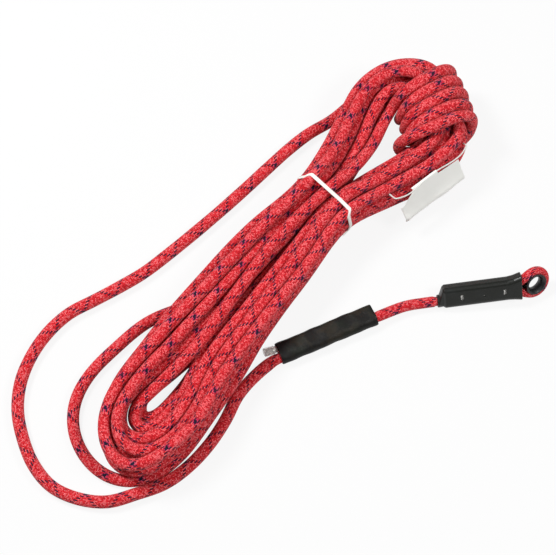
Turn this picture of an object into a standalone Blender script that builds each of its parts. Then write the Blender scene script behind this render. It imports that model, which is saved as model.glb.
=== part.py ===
"""Eye-spliced rope: a hank of braided rope tied at its waist, one end spliced round a thimble.

Lengths are in millimetres and angles in degrees; everything is turned into metres when a mesh is made.
+X runs along the hank to its head, +Y across it, +Z up. The rope lies on the floor, which is z = 0.
"""
import math

import bmesh
import bpy
import numpy as np
from mathutils import Matrix, Vector

MM = 0.001
FIT = 0.3                    # gap between pieces that touch

# Rope
ROPE_D = 12.0                # free rope
HANK_D = 11.3                # rope pressed flat against its neighbours in the hank
HANK_GAP = 0.5               # least gap between neighbouring strands of the hank
PIGTAIL_D = 10.4             # rope pulled thin between the sleeve and the eye's cover
SLEEVE_ROPE_D = 10.0         # rope pulled thin inside the sleeve
CORE_D = 6.6                 # core yarns under the sheath
EYE_ROPE_D = 9.0             # rope pulled thin round the thimble and in the cover

# Hank
WAIST_TURNS = 11             # loops drawn in at the waist
WAIST_RADIUS = 33.5          # bundle at the tie
WAIST_X = 0.0
TIE_WIDTH = 3.6
TIE_THICKNESS = 0.8
WAIST_LIFT = 1.9             # room for the tie under the waist's strands
TIE_HEAD_WIDTH = 6.0
TIE_HEAD_HEIGHT = 4.2
TIE_HEAD_FIRST = 43          # the head's ends, in steps of 5 degrees round the strap
TIE_HEAD_LAST = 46
TIE_HEAD_STEP = 0.16

# Turns wound round the head's far bend
WRAP_TURNS = 4.75
WRAP_POINTS = 12             # points in one turn
WRAP_START = (148.0, 8.5)    # middle of the bundle under the first turn
WRAP_END = (122.5, -43.0)    # and under the last
WRAP_START_ANGLE = -12.0     # direction of the first turn, seen from above
WRAP_END_ANGLE = -22.0
WRAP_FIRST = 180.0           # the first turn starts on the bundle's inner side
BUNDLE_HALF_WIDTH = 24.0     # bundle of strands inside the turns
BUNDLE_HALF_HEIGHT = 22.0
WRAP_SLACK = 0.8

# Sleeve over the splice
SLEEVE_START = (-139.0, -67.5)
SLEEVE_ANGLE = -23.1
SLEEVE_LENGTH = 99.0
SLEEVE_WALL = 0.8
TAIL_D = 6.4                 # core yarns of the splice's tail
SPLICE_GAP = 1.0             # between the rope and its tail
TAIL_LENGTH = 84.0
TAIL_TAPER = 20.0
TAIL_OUT = 12.0              # how far the tail sticks out of the sleeve
TAIL_SPLAY = 5.0             # the end that sticks out turns away from the rope
TAIL_RISE = 6.0              # and upward
CAP_WALL = 0.7
CAP_COVER = 9.0              # length of the tail under its cap
WHIPPING_THICKNESS = 0.7
WHIPPING_LENGTH = 14.0
WHIPPING_IN = 8.0            # from the whippings to the ends of the tail inside the sleeve

# Eye, thimble and cover
EYE_CENTRE = (76.8, -200.6)
EYE_HEIGHT = 17.9
EYE_ANGLE = -40.4            # direction from the cover's neck to the eye, seen from above
EYE_PITCH = 4.2              # the neck end lies lower
EYE_ROLL = 53.7              # the cover lies on its lower edge
EYE_BEND = 22.0              # the ring leans over from the cover by this much
BEND_START = -17.0           # and the rope bends between these places along the eye
BEND_END = -6.5
BORE_RADIUS = 6.4            # at the bore's narrowest
BORE_FLARE = 2.9             # and this much more at its faces
THIMBLE_WALL = 0.8
FLANGE_RADIUS = 10.9
FLANGE_THICKNESS = 0.9
COVER_MOUTH = 13.6           # cover's mouth, from the eye's centre
COVER_LENGTH = 81.0
COVER_WALL = 1.1
COVER_CORNER = 4.4           # rounding of the cover's long edges
FLARE_UPPER = 3.2            # extra half width at the mouth, on the two sides
FLARE_LOWER = 1.8
FLARE_LENGTH = 13.0
NECK_RADIUS = 6.2
NECK_LENGTH = 2.2
SHOULDER_LENGTH = 5.5
LEG_END_GAP = 4.0            # from the cut leg's end to the shoulder
STITCH_THICKNESS = 0.4
STITCH_LENGTH = 8.0
STITCH_PLACES = (30.0, 50.0, 71.0)     # from the eye's centre
SLOT_WIDTH = 2.6
SLOT_LENGTH = 6.6
SLOT_PLACES = (30.0, 71.0)
SLOT_OFFSET = 0.0
HOLE_D = 2.0
HOLE_PLACE = 49.5
HOLE_OFFSET = -0.9

# Far end, under the wound turns
END_STRAIGHT = 22.0
END_CORE_D = 7.4
END_CORE_LENGTH = 6.0
END_CAP_LENGTH = 8.0

# Tag
HINGE_START = (45.0, -53.1)  # the tag's cord, before it is moved clear of the strands
HINGE_END = (125.0, -64.7)
HINGE_HEIGHT = 48.0
HINGE_CLEARANCE = 8.4        # from the tag's cord to the middle of the nearest strand
TAG_CORD_D = 1.6
TAG_CORD_BEND = 4.0
TAG_START = -5.0             # the slip's ends along the cord's straight stretch
TAG_END = 68.0
HEM_START = 14.0             # and the ends of the hem that holds it
HEM_END = 45.0
DROOP_LEFT = 10.0            # the slip's upper corners hang lower than its hem
DROOP_RIGHT = 5.0
TAG_WIDTH = 33.0
TAG_THICKNESS = 0.9
TAG_LEAN = 20.0              # the slip hangs a little outward
TAG_CURL = 26.0              # and turns outward this much more at its lower edge
TAG_CLEARANCE = 0.35

# Box that cuts the hank level at the floor
FLOOR_REACH = 450.0
FLOOR_DEPTH = 30.0

# Lowest centre line in the hank: its underside is cut level, a tenth of the cord's diameter deep
HANK_LOW = HANK_D / 2 - HANK_D / 10

# Colours
RED = (0.72, 0.03, 0.05)
WHITE = (0.85, 0.85, 0.82)
BLACK = (0.02, 0.02, 0.022)
CLEAR = (0.8, 0.8, 0.78)

# One loop of the hank, clockwise from the waist's left side: the innermost loop, then the one three rings out
LOOP_INNER = [
    (0, 6), (46, 12), (80, 21), (106, 29), (127, 28), (133, 13), (121, -10), (105, -34), (80, -32), (46, -22),
    (0, -10), (-65, -14), (-130, -20), (-195, -27), (-238, -42), (-260, -43), (-275, -38), (-282, -27),
    (-279, -15), (-266, -8), (-240, -10), (-195, -14), (-130, -7), (-62, -1)]
LOOP_OUTER = [
    (0, 42), (42, 42), (80, 51), (114, 56), (148, 44), (167, 13), (155, -24), (137, -51), (100, -58),
    (54, -51), (0, -47), (-65, -48), (-135, -53), (-200, -62), (-243, -73), (-278, -74), (-302, -62),
    (-316, -42), (-312, -15), (-296, 6), (-268, 20), (-212, 29), (-138, 33), (-66, 38)]
# Which ring and which layer the rope is in, by the number of loops made
RINGS = [(0.0, 3.2), (3.2, 0.0), (3.4, 0.0), (7.0, 3.4), (7.25, 3.4), (10.65, 0.0), (10.75, 0.0), (11.0, 1.0)]
LAYERS = [(0.0, 0.0), (3.15, 0.0), (3.65, 1.0), (6.85, 1.0), (7.35, 2.0), (10.75, 2.0), (10.95, 3.0)]
# Rise of each of the head's places, where turns pass underneath
HEAD_RISE = {2: 3.0, 3: 8.0, 4: 12.0, 5: 13.2, 6: 13.2, 7: 13.2, 8: 7.0, 9: 2.0}
FIRST_PLACE = 3              # the hank starts at this place of the loop
LAST_PLACE = 2               # and ends at this one, in the last loop
# First lower bend, which lies loose on the floor: its places 14 to 21
LOOSE_BEND = [
    (-323, -50), (-332, -31), (-334, -17), (-323, 21), (-303, 40), (-276, 49), (-242, 50), (-205, 47)]
LOOSE_PLACE = 14
# Outline of the hank's lower half, for the strands' centre lines
OUTLINE_X = [-320, -312, -294, -273, -244, -212, -171, -140, -90, -45]
OUTLINE_LOW = [-38, -52, -61, -64, -65, -60, -55, -49, -43, -36]
OUTLINE_HIGH = [-30, -15, 6, 19, 26, 31, 34, 36, 40, 45]
OUTLINE_END = -317.0
HEAD_TOP = 51.0              # highest centre line before the wound turns
HEAD_FROM = 60.0
# Outline of the head, and of the open hole between its two legs
HEAD_X = [20, 38, 49, 62, 81, 97, 112, 128, 144, 159]
HEAD_LOW = [-36, -44, -50, -53, -56, -58, -59, -58, -50, -36]
HEAD_HIGH = [35, 40, 43, 46, 50, 54, 56, 56, 51, 42]
HOLE_X = [40, 60, 80, 100, 118]
HOLE_LOW = [-14, -24, -28, -25, -21]
HOLE_HIGH = [-4, 3, 9, 12, 14]
HOLE_LEAN = 0.22             # the hole is seen at a slant, so the legs lean along the view
# Last places of the hank: along the hole, then up on its way over the bundle
HANK_END = [(0.0, 1.0, 38.0), (42.0, 6.0, 36.0), (77.0, 12.0, 31.0)]
CLIMB = (104.0, 16.0, 31.0)
SLIDE = 16.0                 # how far a place of the hank may slide along it while it settles

# Free rope from the sleeve along the hank's edge and round to its head
FREE_ROUTE = [
    (-152, -67.2), (-162, -66.3), (-174, -65), (-186, -65.2), (-198, -68), (-213, -73), (-234, -78),
    (-253, -80.5), (-274, -80.5), (-296, -77), (-312, -71), (-326, -63), (-343, -53), (-358, -41),
    (-367, -22), (-374, 1), (-373, 18), (-367, 35), (-357, 57), (-341, 78), (-318, 95), (-290, 105),
    (-255, 108), (-215, 97), (-173, 85), (-124, 79), (-71, 75), (-20, 73), (18, 72), (48, 69), (76, 62)]
FREE_STEP = 27.0
MOUTH_STRAIGHT = 4.5         # the rope runs straight out of the sleeve

# Rounds in which the rope is drawn into its outline, held in it and then let go
DRAW_ROUNDS = 300
HOLD_ROUNDS = 120
REST_ROUNDS = 200

OBJECTS = {}


# Curves
def smooth_curve(points, per_span=12):
    """A smooth curve through the points, with tangents weighted by the spans' lengths."""
    p = np.array(points, float)
    count = len(p)
    step = np.linalg.norm(np.diff(p, axis=0), axis=1)
    tangent = np.zeros_like(p)
    for i in range(1, count - 1):
        before = (p[i] - p[i - 1]) / step[i - 1]
        after = (p[i + 1] - p[i]) / step[i]
        tangent[i] = (before * step[i] + after * step[i - 1]) / (step[i] + step[i - 1])
    tangent[0] = (p[1] - p[0]) / step[0]
    tangent[-1] = (p[-1] - p[-2]) / step[-1]
    out = []
    for i in range(count - 1):
        for k in range(per_span):
            t = k / per_span
            a = 2 * t ** 3 - 3 * t ** 2 + 1
            b = t ** 3 - 2 * t ** 2 + t
            c = -2 * t ** 3 + 3 * t ** 2
            d = t ** 3 - t ** 2
            out.append(a * p[i] + b * step[i] * tangent[i] + c * p[i + 1] + d * step[i] * tangent[i + 1])
    out.append(p[-1])
    return np.array(out)


def even_points(curve, spacing):
    """Points at even steps along a curve."""
    length = np.concatenate([[0.0], np.cumsum(np.linalg.norm(np.diff(curve, axis=0), axis=1))])
    count = max(2, int(round(length[-1] / spacing)) + 1)
    at = np.linspace(0.0, length[-1], count)
    return np.stack([np.interp(at, length, curve[:, k]) for k in range(3)], 1)


def unit(vector):
    vector = np.array(vector, float)
    return vector / np.linalg.norm(vector)


def keyed(keys, value):
    return float(np.interp(value, [k[0] for k in keys], [k[1] for k in keys]))


# Contact between the strands of a route
def nearest_on_segments(p1, d1, p2, d2):
    """How far along each of two segments their nearest points lie."""
    r = p1 - p2
    a = (d1 * d1).sum(1)
    e = (d2 * d2).sum(1)
    f = (d2 * r).sum(1)
    c = (d1 * r).sum(1)
    b = (d1 * d2).sum(1)
    below = np.maximum(a * e - b * b, 1e-9)
    s = np.clip((b * f - c * e) / below, 0, 1)
    t = (b * s + f) / e
    t_in = np.clip(t, 0, 1)
    s = np.where(t != t_in, np.clip((t_in * b - c) / a, 0, 1), s)
    return s, t_in


def near_pairs(route, reach):
    """Pairs of segments that may touch, leaving out neighbours along the rope."""
    start, end = route[:-1], route[1:]
    middle = (start + end) / 2
    half = np.linalg.norm(end - start, axis=1) / 2
    apart = np.linalg.norm(middle[:, None] - middle[None], axis=2)
    return np.nonzero(np.triu(apart < half[:, None] + half[None] + reach, 2))


def strand_distances(route, i, j):
    s, t = nearest_on_segments(route[i], route[i + 1] - route[i], route[j], route[j + 1] - route[j])
    between = (route[i] + s[:, None] * (route[i + 1] - route[i])
               - route[j] - t[:, None] * (route[j + 1] - route[j]))
    return s, t, between, np.linalg.norm(between, axis=1)


def push_apart(route, free, pairs, radius, strength):
    """Moves strands that lie closer than their radii and the hank's gap apart from one another."""
    i, j = pairs
    s, t, between, apart = strand_distances(route, i, j)
    wanted = radius[i] + radius[j] + HANK_GAP
    close = np.nonzero(apart < wanted)[0]
    if not len(close):
        return
    i, j, s, t, wanted = i[close], j[close], s[close], t[close], wanted[close]
    apart = np.maximum(apart[close], 1e-6)
    push = between[close] / apart[:, None] * (wanted - apart)[:, None]
    share_i = np.stack([(1 - s) * free[i], s * free[i + 1]], 1)
    share_j = np.stack([(1 - t) * free[j], t * free[j + 1]], 1)
    total = np.maximum((share_i ** 2).sum(1) + (share_j ** 2).sum(1), 0.15)
    move = np.zeros_like(route)
    count = np.zeros(len(route))
    for share, index, sign in ((share_i, i, 1.0), (share_j, j, -1.0)):
        for end in (0, 1):
            gain = sign * share[:, end] / total
            np.add.at(move, index + end, push * gain[:, None])
            np.add.at(count, index + end, (np.abs(gain) > 0.02).astype(float))
    route += move / np.sqrt(np.maximum(count, 1))[:, None] * strength


def settle(route, free, radius, floor, rounds, hold, smooth, fall, strength):
    """Lets a route settle: held in shape, drawn down, and pushed clear of itself."""
    start = route.copy()
    route = route.copy()
    for step in range(rounds):
        if step % 10 == 0:
            i, j = near_pairs(route, 16.0)
            moving = (free[i] + free[i + 1] + free[j] + free[j + 1]) > 0
            pairs = (i[moving], j[moving])
        if hold:
            hold(route, step / rounds)
        if smooth and step < rounds * 0.8:
            shift = route - start
            bend = np.zeros_like(shift)
            bend[1:-1] = (shift[:-2] + shift[2:]) / 2 - shift[1:-1]
            route += smooth * bend * free[:, None]
            route[:, 2] -= fall * (free > 0)
        for _ in range(3):
            push_apart(route, free, pairs, radius, strength)
            route[:, 2] = np.maximum(route[:, 2], floor)
    return route


def least_gap(route, diameter):
    """Least gap of a route to itself, measured on its segments."""
    i, j = near_pairs(route, 30.0)
    return strand_distances(route, i, j)[3].min() - diameter


# Frames of the sleeve and the eye
def direction(angle):
    return np.array([math.cos(math.radians(angle)), math.sin(math.radians(angle)), 0.0])


def sleeve_frame():
    along = direction(SLEEVE_ANGLE)
    across = direction(SLEEVE_ANGLE + 90.0)
    return along, across


SLEEVE_PACK = FIT + WHIPPING_THICKNESS + FIT         # from the ropes to the sleeve's inner wall
SLEEVE_HEIGHT = SLEEVE_ROPE_D / 2 + SLEEVE_PACK + SLEEVE_WALL + 0.2
# The rope and its tail lie side by side in the sleeve
PAIR_WIDTH = SLEEVE_ROPE_D + TAIL_D + SPLICE_GAP
ROPE_OFFSET = -(PAIR_WIDTH - SLEEVE_ROPE_D) / 2
TAIL_OFFSET = (PAIR_WIDTH - TAIL_D) / 2


def in_sleeve(s, t, h=0.0):
    along, across = sleeve_frame()
    base = np.array([SLEEVE_START[0], SLEEVE_START[1], SLEEVE_HEIGHT])
    return base + along * s + across * t + np.array([0.0, 0.0, h])


def at_tail(s, t, h):
    """A place on the splice's tail: straight inside the sleeve, turned away from the rope outside it."""
    if s >= 0:
        return in_sleeve(s, TAIL_OFFSET + t, h)
    along = direction(SLEEVE_ANGLE - TAIL_SPLAY) * math.cos(math.radians(TAIL_RISE))
    along[2] = -math.sin(math.radians(TAIL_RISE))
    across = direction(SLEEVE_ANGLE - TAIL_SPLAY + 90.0)
    up = np.cross(along, across)
    return in_sleeve(0.0, TAIL_OFFSET) + along * s + across * t + up * h


def eye_axes():
    """Axes of the eye: from the neck to the eye, across it in its own plane, and out of its cheek."""
    flat = direction(EYE_ANGLE)
    side = direction(EYE_ANGLE + 90.0)
    pitch = math.radians(EYE_PITCH)
    roll = math.radians(EYE_ROLL)
    along = flat * math.cos(pitch) + np.array([0.0, 0.0, math.sin(pitch)])
    lift = np.cross(along, side)
    across = side * math.cos(roll) + lift * math.sin(roll)
    out = np.cross(along, across)
    return along, across, out


def at_eye(x, y, z=0.0):
    along, across, out = eye_axes()
    return np.array([EYE_CENTRE[0], EYE_CENTRE[1], EYE_HEIGHT]) + along * x + across * y + out * z


LEG_OFFSET = EYE_ROPE_D / 2 + FIT / 2
NECK_X = -(COVER_MOUTH + COVER_LENGTH)
RING_RADIUS = BORE_RADIUS + THIMBLE_WALL + FIT + EYE_ROPE_D / 2


def at_bend(x, y, z=0.0):
    """A place along the eye's rope, which bends out of the cover's line on its way to the ring."""
    if x <= BEND_START:
        return at_eye(x, y, z)
    radius = (BEND_END - BEND_START) / math.radians(EYE_BEND)
    turned = (min(x, BEND_END) - BEND_START) / radius
    over = max(x - BEND_END, 0.0)
    c, s = math.cos(turned), math.sin(turned)
    return at_eye(BEND_START + (radius + z) * s + over * c, y, -radius * (1.0 - c) + z * c - over * s)


def at_ring(x, y, z=0.0):
    """A place in the ring's own flat frame."""
    along, across, out = eye_axes()
    turned = math.radians(EYE_BEND)
    ring_along = along * math.cos(turned) - out * math.sin(turned)
    ring_out = along * math.sin(turned) + out * math.cos(turned)
    return at_bend(0.0, 0.0) + ring_along * x + across * y + ring_out * z


# Meshes
def material(name, colour, roughness):
    made = bpy.data.materials.new(name)
    made.use_nodes = True
    shader = made.node_tree.nodes["Principled BSDF"]
    shader.inputs["Base Color"].default_value = (*colour, 1.0)
    shader.inputs["Roughness"].default_value = roughness
    return made


def new_object(name, data, colour, roughness):
    made = bpy.data.objects.new(name, data)
    bpy.context.scene.collection.objects.link(made)
    data.materials.append(material(name, colour, roughness))
    OBJECTS[name] = made
    return made


def mesh_object(name, points, faces, colour, roughness):
    data = bpy.data.meshes.new(name)
    data.from_pydata([tuple(float(v) * MM for v in p) for p in points], [], faces)
    bm = bmesh.new()
    bm.from_mesh(data)
    bmesh.ops.recalc_face_normals(bm, faces=bm.faces)
    bm.to_mesh(data)
    bm.free()
    data.shade_smooth()
    data.set_sharp_from_angle(angle=math.radians(40))
    return new_object(name, data, colour, roughness)


def tube(name, points, diameter, sides_level, colour, roughness=0.8, factors=None):
    """A round tube along a list of points, as a bevelled curve with filled caps."""
    data = bpy.data.curves.new(name, "CURVE")
    data.dimensions = "3D"
    data.resolution_u = 1
    data.render_resolution_u = 0
    data.bevel_depth = diameter / 2 * MM
    data.bevel_resolution = sides_level
    data.use_fill_caps = True
    spline = data.splines.new("POLY")
    spline.points.add(len(points) - 1)
    for index, place in enumerate(points):
        spline.points[index].co = (*(float(v) * MM for v in place), 1.0)
        if factors is not None:
            spline.points[index].radius = factors[index]
    return new_object(name, data, colour, roughness)


def hull_profile(circles, offset, steps=40):
    """Outline round circles (t, h, radius), pushed out by an offset: support points of a belt round them."""
    out = []
    for k in range(steps):
        angle = 2 * math.pi * k / steps
        c, s = math.cos(angle), math.sin(angle)
        best = max(circles, key=lambda q: q[0] * c + q[1] * s + q[2])
        out.append((best[0] + (best[2] + offset) * c, best[1] + (best[2] + offset) * s))
    return out


def ring_profile(radius, t=0.0, h=0.0, steps=40):
    return [(t + radius * math.cos(2 * math.pi * k / steps), h + radius * math.sin(2 * math.pi * k / steps))
            for k in range(steps)]


def loft(sections, place):
    """Points and side faces of a surface through sections (s, profile), put in space by place."""
    steps = len(sections[0][1])
    points = [place(s, t, h) for s, profile in sections for t, h in profile]
    faces = []
    for row in range(len(sections) - 1):
        for k in range(steps):
            a = row * steps + k
            b = row * steps + (k + 1) % steps
            faces.append((a, b, b + steps, a + steps))
    return points, faces


def shell(name, outer, inner, place, colour, roughness):
    """An open-ended shell: outer sections and inner sections, joined at both ends."""
    outer_points, outer_faces = loft(outer, place)
    inner_points, inner_faces = loft(inner, place)
    steps = len(outer[0][1])
    shift = len(outer_points)
    faces = list(outer_faces) + [tuple(i + shift for i in reversed(face)) for face in inner_faces]
    last_outer = shift - steps
    last_inner = shift + len(inner_points) - steps
    for k in range(steps):
        n = (k + 1) % steps
        faces.append((n, k, shift + k, shift + n))
        faces.append((last_outer + k, last_outer + n, last_inner + n, last_inner + k))
    return mesh_object(name, outer_points + inner_points, faces, colour, roughness)


def solid_loft(name, sections, place, colour, roughness):
    """A closed solid through sections, with flat ends."""
    points, faces = loft(sections, place)
    steps = len(sections[0][1])
    faces.append(tuple(reversed(range(steps))))
    faces.append(tuple(len(points) - steps + k for k in range(steps)))
    return mesh_object(name, points, faces, colour, roughness)


def box_cutter(name, place, low, high):
    corners = [(x, y, z) for x in (low[0], high[0]) for y in (low[1], high[1]) for z in (low[2], high[2])]
    faces = [(0, 1, 3, 2), (4, 6, 7, 5), (0, 4, 5, 1), (2, 3, 7, 6), (0, 2, 6, 4), (1, 5, 7, 3)]
    cutter = mesh_object(name, [place(*c) for c in corners], faces, BLACK, 0.5)
    return as_cutter(cutter)


def as_cutter(cutter):
    cutter.hide_render = True
    cutter.display_type = "WIRE"
    OBJECTS.pop(cutter.name)
    return cutter


def cut(target, cutter):
    boolean = target.modifiers.new("cut_" + cutter.name, "BOOLEAN")
    boolean.operation = "DIFFERENCE"
    boolean.solver = "EXACT"
    boolean.object = cutter


# The rope's route
def free_rope():
    """The rope from the sleeve round to the hank's head."""
    mouth = in_sleeve(-FIT, ROPE_OFFSET)
    straight = in_sleeve(-FIT - MOUTH_STRAIGHT, ROPE_OFFSET)
    curve = smooth_curve([mouth, straight] + [(x, y, ROPE_D / 2) for x, y in FREE_ROUTE])
    near = even_points(curve, 6.0)[2]
    return np.concatenate([[mouth, straight, near], even_points(curve, FREE_STEP)[1:]])


def hank_places():
    """Each place of the hank's loops before it settles, and how freely it moves."""
    strand = HANK_D + HANK_GAP
    around = len(LOOP_INNER)
    places, free = [], []
    for step in range(FIRST_PLACE, WAIST_TURNS * around + LAST_PLACE + 1):
        turns = step / around
        place = step % around
        ring = keyed(RINGS, turns) / 3.0
        x, y = np.array(LOOP_INNER[place]) * (1 - ring) + np.array(LOOP_OUTER[place]) * ring
        z = HANK_LOW + keyed(LAYERS, turns) * strand + HEAD_RISE.get(place, 0.0)
        moves = 1.0
        if LOOSE_PLACE <= step < LOOSE_PLACE + len(LOOSE_BEND):
            x, y = LOOSE_BEND[step - LOOSE_PLACE]
            z = HANK_LOW
            moves = 0.0
        if step >= WAIST_TURNS * around:
            x, y, z = HANK_END[place]
        if turns > WAIST_TURNS - 0.6 and LOOSE_PLACE <= place <= LOOSE_PLACE + 6:
            moves = 0.15
        places.append((x, y, z))
        free.append(moves)
    return places, free


def wrap_frame(share):
    """Middle of the bundle and the turn's direction, at a share of the wound turns."""
    centre = np.array(WRAP_START) * (1 - share) + np.array(WRAP_END) * share
    angle = math.radians(WRAP_START_ANGLE * (1 - share) + WRAP_END_ANGLE * share)
    return centre, np.array([math.cos(angle), math.sin(angle)])


BUNDLE_HEIGHT = HANK_D + HANK_GAP + BUNDLE_HALF_HEIGHT
ROUNDNESS = 0.74             # below 1 the turns are squarer than an ellipse


def wrap_places():
    """The wound turns: from the head's top, round the bundle, to its underside."""
    strand = HANK_D + HANK_GAP
    steps = int(WRAP_TURNS * WRAP_POINTS)
    places = [CLIMB]
    for step in range(steps + 1):
        share = step / steps
        turn = math.radians(WRAP_FIRST - 360.0 * WRAP_TURNS * share)
        c, s = math.cos(turn), math.sin(turn)
        centre, across = wrap_frame(share)
        wide = BUNDLE_HALF_WIDTH + strand / 2 + WRAP_SLACK
        high = BUNDLE_HALF_HEIGHT + strand / 2
        x, y = centre + across * wide * math.copysign(abs(c) ** ROUNDNESS, c)
        z = BUNDLE_HEIGHT + high * math.copysign(abs(s) ** ROUNDNESS, s)
        places.append((x, y, z))
    centre, across = wrap_frame(1.0)
    tail = END_STRAIGHT + END_CORE_LENGTH + END_CAP_LENGTH / 2
    x, y = centre - across * tail
    places.append((x, y, HANK_LOW))
    return places


def rope_route():
    """The whole rope, settled: the free rope, the hank and the wound turns."""
    free_part = free_rope()
    hank, hank_free = hank_places()
    wraps = wrap_places()
    route = np.concatenate([free_part, np.array(hank), np.array(wraps)])
    free = np.concatenate([np.zeros(len(free_part)), hank_free, np.ones(len(wraps))])
    first_hank = len(free_part)
    first_wrap = first_hank + len(hank)
    index = np.arange(len(route))
    in_hank = (index >= first_hank) & (index < first_wrap) & (free > 0)
    place = (index - first_hank + FIRST_PLACE) % len(LOOP_INNER)
    before_climb = index < first_wrap - 4
    floor = np.full(len(route), HANK_LOW)
    floor[:first_hank] = 0.0
    radii = np.full(len(route) - 1, HANK_D / 2)
    radii[:first_hank] = ROPE_D / 2
    start_x = route[:, 0].copy()

    def draw_in(places, share):
        """Holds the hank in at the waist, inside the wound turns and inside its outline."""
        closing = min(1.0, share / 0.5)
        along = np.clip(places[:, 0], start_x - SLIDE, start_x + SLIDE)
        places[in_hank, 0] = along[in_hank]
        radius = HANK_D / 2
        goal = WAIST_RADIUS - radius
        waist = np.nonzero(in_hank & (np.abs(places[:, 0] - WAIST_X) < 75))[0]
        away = places[waist, 0] - WAIST_X
        limit = 70 - (70 - goal) * closing + np.abs(away) * np.where(away > 0, 0.35, 0.13)
        middle = np.array([-2.0, radius + goal + WAIST_LIFT])
        out = places[waist, 1:] - middle
        far = np.linalg.norm(out, axis=1)
        out *= np.minimum(1.0, limit / np.maximum(far, 1e-6))[:, None]
        places[waist, 1:] = middle + out
        at_tie = in_hank & (np.abs(places[:, 0] - WAIST_X) < 20)
        places[at_tie, 2] = np.maximum(places[at_tie, 2], radius + WAIST_LIFT)
        for part in (0.0, 0.25, 0.5, 0.75, 1.0):
            centre, across = wrap_frame(part)
            along = np.array([across[1], -across[0]])
            offset = places[:, :2] - centre
            inside = in_hank & before_climb & (np.abs(offset @ along) < 11) & (np.abs(offset @ across) < 36)
            chosen = np.nonzero(inside)[0]
            wide = BUNDLE_HALF_WIDTH - radius + (1 - closing) * 15
            high = BUNDLE_HALF_HEIGHT - radius + (1 - closing) * 15
            sideways = offset[chosen] @ across
            up = places[chosen, 2] - BUNDLE_HEIGHT
            places[chosen, :2] += (np.clip(sideways, -wide, wide) - sideways)[:, None] * across
            places[chosen, 2] += np.clip(up, -high, high) - up
        head = in_hank & before_climb & (places[:, 0] > HEAD_FROM)
        places[head, 2] = np.minimum(places[head, 2], HEAD_TOP + (1 - closing) * 20)
        chosen = in_hank & before_climb & (places[:, 0] > HEAD_X[0]) & (places[:, 0] < HEAD_X[-1])
        legs = np.nonzero(chosen)[0]
        lowest = np.interp(places[legs, 0], HEAD_X, HEAD_LOW)
        highest = np.interp(places[legs, 0], HEAD_X, HEAD_HIGH)
        places[legs, 1] = np.clip(places[legs, 1], lowest, highest)
        by_hole = in_hank & before_climb & (places[:, 0] > HOLE_X[0]) & (places[:, 0] < HOLE_X[-1])
        left = np.nonzero(by_hole & (place <= 4))[0]
        edge = np.interp(places[left, 0], HOLE_X, HOLE_HIGH) + HOLE_LEAN * (HEAD_TOP - places[left, 2])
        edge *= closing
        places[left, 1] = np.maximum(places[left, 1], edge)
        right = np.nonzero(by_hole & (place >= 7) & (place <= 10))[0]
        edge = np.interp(places[right, 0], HOLE_X, HOLE_LOW) + HOLE_LEAN * (HEAD_TOP - places[right, 2])
        edge *= closing
        places[right, 1] = np.minimum(places[right, 1], edge)
        low = np.nonzero(in_hank & (places[:, 0] < OUTLINE_X[-1]))[0]
        lowest = np.interp(places[low, 0], OUTLINE_X, OUTLINE_LOW)
        highest = np.interp(places[low, 0], OUTLINE_X, OUTLINE_HIGH)
        places[low, 1] = np.clip(places[low, 1], lowest, highest)
        places[low, 0] = np.maximum(places[low, 0], OUTLINE_END)

    route = settle(route, free, radii, floor, DRAW_ROUNDS, draw_in, 0.15, 0.05, 0.7)
    hold = lambda places, share: draw_in(places, 1.0)
    route = settle(route, free, radii, floor, HOLD_ROUNDS, hold, 0, 0, 0.5)
    route = settle(route, free, radii, floor, REST_ROUNDS, None, 0, 0, 0.5)
    route[-1, 2] = route[-2, 2]
    return route, first_hank, first_wrap


def split(route, index):
    """Ends two tubes face to face in the middle of the segment that starts at an index."""
    a, b = route[index], route[index + 1]
    middle = (a + b) / 2
    half = unit(b - a) * FIT / 2
    return middle - half, middle + half


def rope_in_hank():
    route, first_hank, first_wrap = rope_route()
    free_end, hank_start = split(route, first_hank - 1)
    hank_end, wrap_start = split(route, first_wrap - 1)
    free_points = np.concatenate([route[:first_hank], [free_end]])
    hank_points = np.concatenate([[hank_start], route[first_hank:first_wrap], [hank_end]])
    end_direction = unit(route[-1] - route[-2])
    wrap_end = route[-2] + end_direction * END_STRAIGHT
    wrap_points = np.concatenate([[wrap_start], route[first_wrap:-1], [wrap_end]])
    thickness = np.ones(len(free_points))
    thickness[:3] = SLEEVE_ROPE_D / ROPE_D, 0.87, 0.95
    tube("outer_loop_rope", free_points, ROPE_D, 2, RED, 0.8, thickness)
    hank = tube("hank_rope", hank_points, HANK_D, 1, RED)
    wraps = tube("head_wraps_rope", wrap_points, HANK_D, 1, RED)
    stretches = (free_points, hank_points, wrap_points)
    lengths = [np.linalg.norm(np.diff(places, axis=0), axis=1).sum() for places in stretches]
    print("rope lengths, mm: free %.0f, hank %.0f, wraps %.0f" % tuple(lengths))
    print("hank_rope least gap to itself, mm: %.2f" % least_gap(hank_points, HANK_D))
    print("head_wraps_rope least gap to itself, mm: %.2f" % least_gap(wrap_points, HANK_D))
    print("hank top, mm: %.1f" % (route[:, 2].max() + HANK_D / 2))
    for piece in (hank, wraps):
        stand_flat(piece)
    far_end(wrap_end, end_direction)
    return route, first_hank, first_wrap


def stand_flat(piece):
    """Turns a tube into a mesh and cuts it level at the floor."""
    name = piece.name
    colour = piece.data.materials[0]
    data = bpy.data.meshes.new_from_object(piece)
    bpy.data.objects.remove(piece, do_unlink=True)
    made = bpy.data.objects.new(name, data)
    bpy.context.scene.collection.objects.link(made)
    data.materials.clear()
    data.materials.append(colour)
    OBJECTS[name] = made
    reach = FLOOR_REACH
    low, high = (-reach, -reach, -FLOOR_DEPTH), (reach, reach, 0)
    cut(made, box_cutter(name + "_floor", lambda x, y, z: (x, y, z), low, high))


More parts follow.
